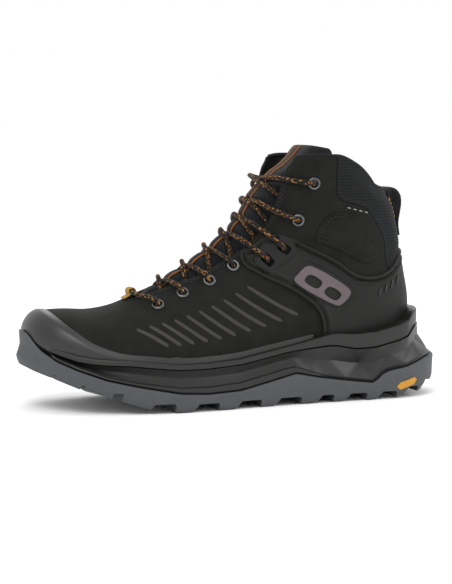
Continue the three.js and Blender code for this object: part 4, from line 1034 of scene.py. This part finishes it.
lining = skinShell("liningKnit", (0.6, lastSlice - 0.6, 0.12, 0.0, fullTurn, 0.04), liningField,
                   evenAt(-3.65), -4.8, rim=0.5)
placePiece(lining, "lining", stands=["lining"])
bindTurns = np.linspace(0, ridge, 161)
bindStations = np.linspace(18, lastSlice - 0.5, 241)
bindPath = []
for turn in bindTurns:
    points = skinPoint(bindStations, turn)
    over = points[:, 2] - along(collarLine, points[:, 0])
    if over[-1] < 0 or over[0] > 0:
        continue
    station = float(np.interp(0, over, bindStations))
    if girthOf(station, turn) >= girthOf(station, along(throatEdge, station)):
        bindPath.append((station, turn))
bindDepth = -2.3
near = [skinAt(s, t, bindDepth) for s, t in bindPath][::-1]
far = [skinAt(s, fullTurn - t, bindDepth) for s, t in bindPath]
bindLine = evenly(smoothPath(evenly(near + far[1:], 6), 1.2), 1.2)
bindShares = np.linspace(0, 1, len(bindLine))
binding = tubeMesh("collarBinding", bindLine, 2.5, 14, taper=lambda share: (
    0.52 + 0.48 * smoothStep(60, 72, np.interp(share, bindShares, bindLine[:, 0]))))
placePiece(binding, "knit")
print("lining and binding made")


# Eyelets: a rolled steel flange round each hole, and its clenched back
eyeletProfile = [
    [2.35, -2.9], [4.1, -2.9], [4.1, -2.6], [3.1, -2.45], [3.1, 0.35], [4.2, 0.5], [4.45, 0.75], [4.35, 1.15],
    [3.95, 1.5], [3.4, 1.62], [2.85, 1.5], [2.5, 1.1], [2.35, 0.5],
]
for side, label in bothSides:
    number = 0
    for station, turn, kind in laceHoles:
        if kind != "eyelet":
            continue
        number += 1
        centre, normal, upper, across = standOn(station, turn, side)
        angles = np.arange(40) * fullTurn / 40
        ring = np.cos(angles)[:, None] * across + np.sin(angles)[:, None] * upper
        profile = eyeletProfile + eyeletProfile[:1]
        rings = [centre + ring * radius + normal * height for radius, height in profile]
        eyelet = loftMesh("eyelet%s%d" % (label.title(), number), rings[::-1], 35, False)
        placePiece(eyelet, "metal", stands=["eyelet_%s_%d" % (label, number)])
print("eyelets made")


# Tongue: padded nylon that bends at the instep, with its centre tape
leanLine = [[7, 0], [16.5, 0], [19, 4], [21, 9], [23, 17], [25, 24]]
tongueSet = {
    "root": 7.2, "top": 24.2, "out": -3.3, "underFlap": -7.25, "thick": 3.2, "beyond": 9, "swell": 3.4,
    "dipWidth": 0.27,
}


def leaned(station, turn, depth):
    row = sliceAt(station)
    inward = unit(np.stack([row[..., 0] - row[..., 2], 0 * row[..., 0], row[..., 1] - row[..., 3]], -1))
    return skinAt(station, turn, depth) + inward * np.asarray(along(leanLine, station))[..., None]


def ribbonMesh(name, stations, halfGirth, high, low, columns=32):
    shares = np.linspace(-1, 1, columns + 1)
    rings = []
    for station in stations:
        girths = shares * float(halfGirth(station))
        turns = ridge + np.sign(girths) * (ridge - turnAtGirth(station, np.abs(girths)))
        top, bottom = high(station, turns), low(station, turns)
        middle = (top + bottom) / 2
        half = (top - bottom) / 2 * np.sqrt(np.maximum(1 - np.abs(shares) ** 8, 0))
        stationRow = np.full(len(shares), float(station))
        upper = leaned(stationRow, turns, middle + half)
        lower = leaned(stationRow, turns, middle - half)
        rings.append(np.vstack([upper, lower[-2:0:-1]]))
    return loftMesh(name, rings, 50)


def flapShare(station, turn):
    return smoothStep(0.45, 1, np.abs(ridge - turn) / (ridge - along(throatEdge, station)))


def topRound(station, reach):
    left = np.clip(1 - (tongueSet["top"] - station) / reach, 0, 1)
    return float(np.sqrt(max(1 - left**2, 0)))


def laceDip(station, turn):
    # the strands run in an X from hole to hole, and the pad swells between them
    girth = girthOf(station, folded(turn))
    dip = 0 * girth
    for i in range(len(laceHoles) - 1):
        middle = (laceHoles[i][0] + laceHoles[i + 1][0]) / 2
        span = (laceHoles[i + 1][0] - laceHoles[i][0]) / 2
        across = girth / ((holeGirths[i] + holeGirths[i + 1]) / 2) * span
        for way in (-1, 1):
            dip = np.maximum(dip, ridgeAt(station - middle + way * across, 0, tongueSet["dipWidth"]))
    return dip


def tongueBase(share):
    return tongueSet["out"] + (tongueSet["underFlap"] - tongueSet["out"]) * share


def topThin(station):
    return 1.2 * (1 - topRound(station, 0.45))


def tongueHigh(station, turn):
    share = flapShare(station, turn)
    swell = tongueSet["swell"] * (1 - laceDip(station, turn)) * (1 - share) * smoothStep(7.8, 8.8, station)
    return tongueBase(share) + swell - topThin(station)


def tongueLow(station, turn):
    share = flapShare(station, turn)
    return tongueBase(share) - tongueSet["thick"] * (1 - 0.55 * share) + topThin(station)


def tongueHalf(station):
    edge = float(girthOf(station, along(throatEdge, station))) + tongueSet["beyond"]
    return edge * (0.62 + 0.38 * topRound(station, 1.3))


tongueStations = np.r_[np.linspace(tongueSet["root"], 23, 170), np.linspace(23, tongueSet["top"], 40)[1:]]
tongue = ribbonMesh("tonguePad", tongueStations, tongueHalf, tongueHigh, tongueLow)
placePiece(tongue, "tongue", None, ["tongue_root", "tongue_upper"])
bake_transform(tongue)
tapeStations = np.linspace(9, tongueSet["top"] - 0.1, 180)
tapeTop = lambda station, turn: tongueHigh(station, np.full_like(turn, ridge)) + 0.75
tapeUnder = lambda station, turn: tapeTop(station, turn) - 1.0
tape = ribbonMesh("tongueTape", tapeStations, lambda station: 4.2, tapeTop, tapeUnder, 8)
placePiece(tape, "webbing", None, ["tongue_tape_root", "tongue_tape_upper"])
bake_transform(tape)
for side, label in bothSides:
    edgePath = []
    for station in tapeStations:
        turn = ridge + side * (ridge - float(turnAtGirth(station, 4.4)))
        depth = float(tapeTop(station, np.array([turn]))[0]) - 0.25
        edgePath.append(leaned(np.array(station), np.array(turn), depth))
    edge = tubeMesh("tapeEdge" + label.title(), evenly(edgePath, 0.9), 0.55, 8)
    placePiece(edge, "orange", None)
    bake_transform(edge)
print("tongue made")


# Straps: a rounded flat section swept along a line in the middle plane
def strapMesh(name, path, centreY, halfWidth, thickness):
    path = np.asarray(path, float)
    tangents = unit(np.gradient(path, axis=0))
    rings = []
    corners = np.linspace(0, fullTurn, 33)[:-1]
    for (x, z), (dx, dz) in zip(path, tangents):
        across = np.sign(np.cos(corners)) * np.abs(np.cos(corners)) ** 0.35 * halfWidth
        out = np.sign(np.sin(corners)) * np.abs(np.sin(corners)) ** 0.7 * thickness / 2
        ridges = 1 + 0.06 * np.cos(across / halfWidth * 4 * math.pi)
        rings.append(np.stack([x - dz * out * ridges, centreY + across, z + dx * out * ridges], 1))
    return loftMesh(name, rings, 50)


def heelBack(z):
    stations = np.linspace(17, lastSlice, 400)
    line = skinPoint(stations, 0.0)
    return float(np.interp(z, line[:, 2], line[:, 0]))


loopSet = {"thick": 2.0, "halfWidth": 9.9}
loopPoints = [
    [heelBack(139) + 1.4, 139], [heelBack(143) + 1.9, 143], [118.6, 146.4], [122.8, 145.4], [126, 141.4],
    [126.6, 135.4], [125.6, 129], [heelBack(121.5) + 2.2, 121.5], [heelBack(113) + 1.4, 113],
]
loopPath = evenly(smoothPath(loopPoints, 1), 0.8)
loop = strapMesh("pullLoop", loopPath, 0, loopSet["halfWidth"], loopSet["thick"])
placePiece(loop, "webbing", stands=["pull_loop"])
tagCentre = onGirth(laceSet["barStation"], 0, laceSet["barDepth"])
tagNormal = skinNormal(laceSet["barStation"], ridge)
tagAngle = math.atan2(tagNormal[2], tagNormal[0]) - math.pi / 2
tagRadius = laceSet["radius"] + 0.9
arch = [[tagRadius * math.cos(a), tagRadius * math.sin(a)] for a in np.linspace(0, math.pi, 25)]
arch = [[tagRadius, -1.6]] + arch + [[-tagRadius, -1], [-tagRadius - 0.8, -1.55], [-tagRadius - 4.8, -1.6]]
tagTurn = np.array([[math.cos(tagAngle), math.sin(tagAngle)], [-math.sin(tagAngle), math.cos(tagAngle)]])
archPath = evenly(np.array(arch) @ tagTurn + tagCentre[[0, 2]], 0.5)
tag = strapMesh("throatTag", archPath, tagCentre[1], 4.4, 0.9)
placePiece(tag, "gold", stands=["throat_tag"])
trimLine = evenly([skinAt(s, 0.32, 1.2) for s in np.linspace(22.3, 21.4, 30)], 0.35)
trimRun = np.arange(len(trimLine)) * 0.35
for k, finish in ((0, "yellow"), (1, "tip")):
    angle = trimRun / 3.2 * fullTurn + k * math.pi
    sideways, outward = np.array([0, 1, 0]), skinNormal(21.8, 0.32)
    twist = trimLine + 0.42 * (np.cos(angle)[:, None] * sideways + np.sin(angle)[:, None] * outward)
    strandMesh = tubeMesh("heelTrim%d" % (k + 1), twist, 0.48, 8)
    placePiece(strandMesh, finish, stands=["heel_trim"] if k == 0 else ())
print("loop, tag and trim made")


# Sole: outlines, then rings of the outline at their own insets and heights
outline = smoothPath([
    [-152.5, 5], [-148, -11], [-138, -26], [-124, -39.5], [-104, -48.5], [-80, -54], [-52, -56], [-24, -53.5],
    [6, -49], [36, -45.5], [66, -43.5], [96, -42.5], [122, -39.5], [139.5, -30], [150.2, -16], [154.7, 0],
    [150.2, 16], [139.5, 29], [122, 38], [96, 40.5], [66, 40], [36, 40.5], [6, 42.5], [-24, 46], [-52, 49.5],
    [-80, 51], [-104, 49.5], [-124, 45.5], [-138, 35.5], [-148, 21],
], 1, True)
outline = evenly(outline, 1.0, True)
tangent = unit(np.roll(outline, -3, axis=0) - np.roll(outline, 3, axis=0))
inward = np.stack([-tangent[:, 1], tangent[:, 0]], 1)
outlineRun = np.arange(len(outline)) * 1.0
groundLine = [
    [-153, 34.8], [-151, 31.4], [-149.5, 29.7], [-144, 26.7], [-137, 23.9], [-119, 16.3], [-103, 11.9],
    [-91, 7.7], [-78, 3.4], [-65, 0.5], [-55, 0], [105, 0], [118, 1.5], [130, 3.5], [142, 6], [150, 10],
    [154, 14],
]
outsoleTop = [
    [-152, 54.6], [-149, 54], [-147, 51.3], [-144.5, 46], [-141, 41], [-133, 34.4], [-122, 29.2],
    [-104, 22.6], [-85, 18.2], [-68, 14.9], [-55, 12.4], [-34, 11.1], [-10, 12.1], [11, 16.4], [32, 21.1],
    [50, 17.5],
    [75, 13.8], [91, 11.8], [95, 13.8], [99, 17.3], [104, 19.6], [119, 21.8], [128, 24.3], [135, 26.4],
    [145, 27.6], [155, 27.8],
]
lipInset = [[-153, 1.5], [66, 1.5], [96, 2], [122, 4], [139, 9.6], [150, 12.8], [155, 13.6]]
waistInset = [[-153, 3.4], [96, 3.6], [122, 4.8], [139, 8], [150, 10.6], [155, 11.6]]
shoulderInset = [[-153, 1.6], [118, 1.6], [139, 3.2], [155, 4.2]]
toeInset = [[-153, 3], [-146, 1.2], [-132, 0]]
cupFront = -136


def soleRing(inset, height):
    sizes = inset(outline[:, 0]) if callable(inset) else np.full(len(outline), float(inset))
    moved = outline + inward * sizes[:, None]
    return np.column_stack([moved, height(moved[:, 0])])


def spineRing(height):
    moved = outline * np.array([0.87, 0.05])
    return np.column_stack([moved, height(moved[:, 0])])


def booleanCut(target, cutter):
    modifier = target.modifiers.new("cut", "BOOLEAN")
    modifier.object = cutter
    modifier.operation = "DIFFERENCE"
    modifier.solver = "MANIFOLD"
    bpy.context.view_layer.update()
    made = bpy.data.meshes.new_from_object(target.evaluated_get(bpy.context.evaluated_depsgraph_get()))
    target.modifiers.clear()
    target.data = made
    made.polygons.foreach_set("use_smooth", [True] * len(made.polygons))
    made.set_sharp_from_angle(angle=math.radians(17))
    bpy.data.objects.remove(cutter)


def prismMesh(name, sides, low, high):
    sides = np.asarray(sides, float)
    first = np.column_stack([sides[:, 0], np.full(len(sides), low), sides[:, 1]])
    second = np.column_stack([sides[:, 0], np.full(len(sides), high), sides[:, 1]])
    return loftMesh(name, [first, second], 30)


def lipHigh(x):
    return np.maximum(along(lipLine, x), along(outsoleTop, x) + 7)


lipDrop = lambda x: 6.5 * smoothStep(20, 90, x)
stripHigh = lambda x: 2.5 + 3 * smoothStep(-110, 0, x) - 4 * smoothStep(20, 60, x)
lattice = {"length": 23.0, "rows": 2, "rings": 13, "depth": 6.6, "out": 1.9}


def latticeDepth(i, j):
    inner = np.choose((i + j) % 3, (1.0, 0.0, 0.45))
    return np.where(j <= 0, 0.3, np.where(j >= lattice["rows"], 0.12, inner))


def facetDepth(v):
    # flat triangles between the points of a leaning lattice, pressed in by turns
    u = outlineRun / lattice["length"] - 0.5 * v
    i, j = np.floor(u).astype(int), int(min(v, lattice["rows"] - 1e-6))
    fu, fv = u - i, v - j
    near = latticeDepth(i, j) * (1 - fu - fv) + latticeDepth(i + 1, j) * fu + latticeDepth(i, j + 1) * fv
    far = (latticeDepth(i + 1, j + 1) * (fu + fv - 1) + latticeDepth(i + 1, j) * (1 - fv)
           + latticeDepth(i, j + 1) * (1 - fu))
    return lattice["depth"] * np.where(fu + fv < 1, near, far) - lattice["out"]


def bandInset(share):
    def inset(x):
        waist = along(shoulderInset, x) + (along(waistInset, x) - along(shoulderInset, x)) * min(share * 2, 1)
        base = waist + (along(lipInset, x) - waist) * max(share * 2 - 1, 0)
        dark = 1.4 * math.sin(math.pi * share) * (1 - smoothStep(36, 60, x))
        return base + dark + facetDepth(share * lattice["rows"]) * smoothStep(36, 52, x)
    return inset


midRings = [
    spineRing(lambda x: along(outsoleTop, x) - 4),
    soleRing(lambda x: along(shoulderInset, x) + 2.2, lambda x: along(outsoleTop, x) - 4),
    soleRing(lambda x: along(shoulderInset, x) + 2.2, lambda x: along(outsoleTop, x) + 0.3),
    soleRing(lambda x: along(shoulderInset, x) - 0.6, lambda x: along(outsoleTop, x) + 0.9),
    soleRing(lambda x: along(shoulderInset, x) - 1.3, lambda x: along(outsoleTop, x) + 1.6),
    soleRing(lambda x: along(shoulderInset, x) - 1.0, lambda x: along(outsoleTop, x) + stripHigh(x)),
    soleRing(lambda x: along(shoulderInset, x) + 0.2, lambda x: along(outsoleTop, x) + stripHigh(x) + 0.7),
]
for share in np.linspace(0.02, 0.98, lattice["rings"]):
    height = lambda x, share=share: (
        along(outsoleTop, x) + stripHigh(x) + 0.9
        + (lipHigh(x) - 4.2 - lipDrop(x) - along(outsoleTop, x) - stripHigh(x) - 0.9) * share)
    midRings.append(soleRing(bandInset(share), height))
midRings += [
    soleRing(lambda x: along(lipInset, x) + 1.3, lambda x: lipHigh(x) - 4.1 - lipDrop(x)),
    soleRing(lambda x: along(lipInset, x) - 0.1, lambda x: lipHigh(x) - 3.5 - lipDrop(x)),
    soleRing(lambda x: along(lipInset, x) - 0.2, lambda x: lipHigh(x) - 1.1),
    soleRing(lambda x: along(lipInset, x) + 0.5, lambda x: lipHigh(x) - 0.2),
    soleRing(lambda x: along(lipInset, x) + 1.4, lipHigh),
    spineRing(lipHigh),
]
midsole = loftMesh("midsoleShell", midRings, 32)
corePlaces, coreTris = skinGrid(0, lastSlice, 0.12, 0, fullTurn, 0.05)
corePoints = skinAt(corePlaces[:, 0], corePlaces[:, 1], np.full(len(corePlaces), 0.2))
first, coreTris = weld(corePoints, coreTris)
rims = [np.flatnonzero(corePlaces[first][:, 0] == end) for end in (0, lastSlice)]
caps = [rim[np.argsort(corePlaces[first][rim][:, 1])] for rim in rims]
core = makeMesh("core", corePoints[first], coreTris.tolist() + [caps[0][::-1].tolist(), caps[1].tolist()])
frontBlock = [[-400, -50], [cupFront, -50], [cupFront, 200], [-400, 200]]
booleanCut(midsole, prismMesh("front", frontBlock, -200, 200))
booleanCut(midsole, core)
placePiece(midsole, "foam", stands=["midsole"])
print("midsole made")


# Outsole: rubber with its lugs cut across, side notches at the toe and a long groove down the middle
outsoleSet = {"lugDepth": 5.2, "lean": 4.5, "bevel": 0.8}
lugGaps = [
    [-77, -58], [-46, -26.5], [-14, 5.5], [16, 36.4], [48.2, 61.5], [70, 87], [94.7, 110.5], [116.2, 129],
    [132.5, 147],
]
toeNotches = [[-137, -132.5, 3], [-121, -116.5, 3.5], [-101, -93, 4.5]]
ground = lambda x: along(groundLine, x)
above = lambda lift: lambda x: ground(x) + lift
soleTop = lambda drop: lambda x: along(outsoleTop, x) - drop
toe = lambda more: lambda x: along(toeInset, x) + more
outsole = loftMesh("outsoleRubber", [
    spineRing(above(0)), soleRing(3.4, above(0)), soleRing(2.3, above(0.25)), soleRing(1.0, above(2.4)),
    soleRing(0.55, above(4)), soleRing(toe(0.35), lambda x: (ground(x) + 4 + along(outsoleTop, x)) / 2 + 0.5),
    soleRing(toe(0), soleTop(1.6)), soleRing(toe(0.15), soleTop(0.7)), soleRing(toe(0.8), soleTop(0)),
    soleRing(toe(2.2), soleTop(0)),
    spineRing(soleTop(0)),
], 34)
cutters = []
for start, end in lugGaps:
    low = float(ground((start + end) / 2))
    roof = low + outsoleSet["lugDepth"]
    cutters.append(prismMesh("gap", [
        [start, low - 9], [start, low], [start + outsoleSet["lean"], roof], [end - 1, roof], [end, roof - 1],
        [end, low - 9]], -200, 200))
for start, end, deep in toeNotches:
    low = float(ground((start + end) / 2))
    cutters.append(prismMesh("notch", [[start, low - 9], [start + 1, low + deep], [end - 0.5, low + deep],
                                       [end, low - 9]], -200, 200))
grooveOutline = np.array([[-60, -6], [-72, 0], [-60, 6], [100, 6], [108, 0], [100, -6]], float)
grooveRings = [np.column_stack([grooveOutline, np.full(6, z)]) for z in (-9, outsoleSet["lugDepth"])]
cutters.append(loftMesh("groove", grooveRings, 30))
for cutter in cutters:
    booleanCut(outsole, cutter)
placePiece(outsole, "rubber", stands=["outsole"])
print("outsole made")


# Small trim on the skin: printed bars, stitches and dashes
def placeOf(x, z):
    gap = (tablePoints[..., 0] - x) ** 2 + (tablePoints[..., 2] - z) ** 2
    i, j = np.unravel_index(np.argmin(gap), gap.shape)
    place = np.array([tableStations[i], tableTurns[j]])
    for _ in range(3):
        here = skinPoint(place[0], place[1])[[0, 2]]
        run = (skinPoint(place[0] + 0.01, place[1])[[0, 2]] - here) / 0.01
        over = (skinPoint(place[0], place[1] + 0.01)[[0, 2]] - here) / 0.01
        step, *_ = np.linalg.lstsq(np.column_stack([run, over]), np.array([x, z]) - here, rcond=None)
        place = place + np.clip(step, -0.05, 0.05)
    return place


def onSide(places, side, depth):
    places = np.asarray(places, float)
    turns = places[:, 1] if side < 0 else fullTurn - places[:, 1]
    return skinAt(places[:, 0], turns, np.full(len(places), float(depth))), skinNormal(places[:, 0], turns)


def flatLine(places, side, halfWidth, depth, height, samples=16):
    # one rounded flat bar that follows the skin between its places
    path = evenly(places, np.linalg.norm(places[-1] - places[0]) / samples)
    centre, normal = onSide(path, side, depth)
    across = unit(np.cross(np.gradient(centre, axis=0), normal))
    rings = []
    for k in range(len(path)):
        share = k / (len(path) - 1)
        wide = halfWidth(share) if callable(halfWidth) else halfWidth
        end = 0.35 + 0.65 * math.sqrt(max(0, 1 - max(0, abs(2 * share - 1) - 0.86) ** 2 / 0.14**2))
        shape = ((-1, -0.3), (-1, 0.45), (-0.7, 1), (0.7, 1), (1, 0.45), (1, -0.3))
        rings.append([centre[k] + across[k] * wide * end * u + normal[k] * height * v for u, v in shape])
    return np.array(rings)


def joinRings(name, ringSets):
    points, faces, shift = [], [], 0
    for rings in ringSets:
        rows, count = rings.shape[:2]
        points.append(rings.reshape(-1, 3))
        faces += ringFaces(rows, count, shift)
        shift += rows * count
    return makeMesh(name, np.vstack(points), faces)


stitchSet = {"length": 1.9, "gap": 1.1, "radius": 0.34}
stitchShape = ((0.35, -0.35), (0.85, 0.1), (1, 0.25), (0.85, 0.1), (0.35, -0.35))  # width and lift along it


def stitchRow(places, side, depth):
    length, gap, radius = stitchSet["length"], stitchSet["gap"], stitchSet["radius"]
    centre, normal = onSide(places, side, depth)
    line = evenly(np.column_stack([centre, normal]), 0.2)
    run = runAlong(line[:, :3])
    made = []
    for start in np.arange(0.5, run[-1] - length, length + gap):
        shares = np.linspace(0, 1, 5)
        at = np.array([[np.interp(start + length * f, run, line[:, c]) for c in range(6)] for f in shares])
        ahead = at[-1, :3] - at[0, :3]
        ahead /= np.linalg.norm(ahead)
        up = at[2, 3:] / np.linalg.norm(at[2, 3:])
        across = np.cross(ahead, up)
        rings = []
        for k, (size, lift) in enumerate(stitchShape):
            rings.append([at[k, :3] + (across * math.cos(a) + up * math.sin(a)) * radius * size
                          + up * (lift * radius) for a in np.arange(6) * fullTurn / 6])
        made.append(np.array(rings))
    return made


def insetPath(zone, distance):
    path = evenly(zone, 1.5, True)
    ahead = unit(np.roll(path, -2, axis=0) - np.roll(path, 2, axis=0))
    off = np.column_stack([-ahead[:, 1], ahead[:, 0]])
    if insideBy(path[:1] + off[:1] * 0.5, zone)[0] < 0:
        off = -off
    moved = path + off * distance
    return np.vstack([moved, moved[:1]])


barSet = {"count": 10, "halfWidth": 1.3, "height": 0.35, "depth": 0.12}
patchStitches = np.array([placeOf(x, z) for x, z in insetPath(patchZone, 2.6)])
flapStations = np.linspace(8.1, 22, 90)
flapRows = [np.column_stack([flapStations, turnAtGirth(
    flapStations, girthOf(flapStations, along(throatEdge, flapStations)) + off)]) for off in (2.2, 3.6)]
dashPlaces = [(73.5 + 4.4 * k, 134.6 - 1.1 * k) for k in range(4)]
heelPlaces = [(99 + 5.2 * k, 71.5 + 2.6 * k) for k in range(4)]
for side, label in bothSides:
    bars = []
    for i in range(barSet["count"]):
        ends = np.array([[7.35 + 0.554 * i, 2.20], [8.54 + 0.547 * i, 1.82 - 0.013 * i]])
        wide = lambda share: barSet["halfWidth"] * (0.85 + 0.15 * float(smoothStep(0, 0.4, share)))
        bars.append(flatLine(ends, side, wide, barSet["depth"], barSet["height"], 24))
    placePiece(joinRings("vampBars" + label.title(), bars), "print")
    rows = stitchRow(patchStitches, side, 1.15)
    for row in flapRows:
        rows += stitchRow(row, side, 0.35)
    placePiece(joinRings("stitching" + label.title(), rows), "thread")
    dashes = [flatLine(np.array([placeOf(x, z), placeOf(x + 2.2, z - 0.6)]), side, 0.32, 1.9, 0.45, 8)
              for x, z in dashPlaces]
    placePiece(joinRings("collarDashes" + label.title(), dashes), "pale")
    heelBars = [flatLine(np.array([placeOf(x, z), placeOf(x + 1.6, z + 6)]), side, 0.8, 2.0, 0.5, 8)
                for x, z in heelPlaces]
    placePiece(joinRings("heelBars" + label.title(), heelBars), "dashes")
print("trim made")


# Hidden layers keep their solids and get their own finishes
solidFinishes = {
    "lasting_board": "board", "shank": "board", "bottom_filler": "filler", "toe_puff": "board",
    "heel_counter": "board", "collar_padding": "pad", "footbed": "lining", "heel_badge": "yellow",
}
for name, finish in solidFinishes.items():
    for slot in bpy.data.objects[name].material_slots:
        slot.material = materials[finish]

# Floor and lights: a white room with soft lamps over the boot
floorMesh = bpy.data.meshes.new("floor")
floorMesh.from_pydata([(-6, -6, 0), (6, -6, 0), (6, 6, 0), (-6, 6, 0)], [], [(0, 1, 2, 3)])
floor = bpy.data.objects.new("floor", floorMesh)
bpy.context.scene.collection.objects.link(floor)
floor.location.z = -0.0004
paper, _, paperShader = newMaterial("paperFloor", Roughness=1.0, Specular_IOR_Level=0.0)
paperShader.inputs["Base Color"].default_value = linear("#ffffff")
floorMesh.materials.append(paper)
world = bpy.data.worlds.new("whiteRoom")
world.use_nodes = True
world.node_tree.nodes["Background"].inputs["Color"].default_value = linear("#ffffff")
world.node_tree.nodes["Background"].inputs["Strength"].default_value = 1.0
bpy.context.scene.world = world
lamps = {
    "key": ((-0.45, -0.6, 0.8), 4.2, 0.5),
    "side": ((0.9, -0.5, 0.5), 2.6, 0.4),
    "back": ((0.3, 0.8, 0.8), 3, 0.8),
}
for name, (place, power, size) in lamps.items():
    lampData = bpy.data.lights.new(name + "Lamp", "AREA")
    lampData.energy = power
    lampData.size = size
    lamp = bpy.data.objects.new(name + "Lamp", lampData)
    lamp.location = place
    lamp.rotation_euler = (Vector((0, 0, 0.07)) - lamp.location).to_track_quat("-Z", "Y").to_euler()
    bpy.context.scene.collection.objects.link(lamp)
bpy.context.scene.view_settings.view_transform = "Standard"
print("lights made")
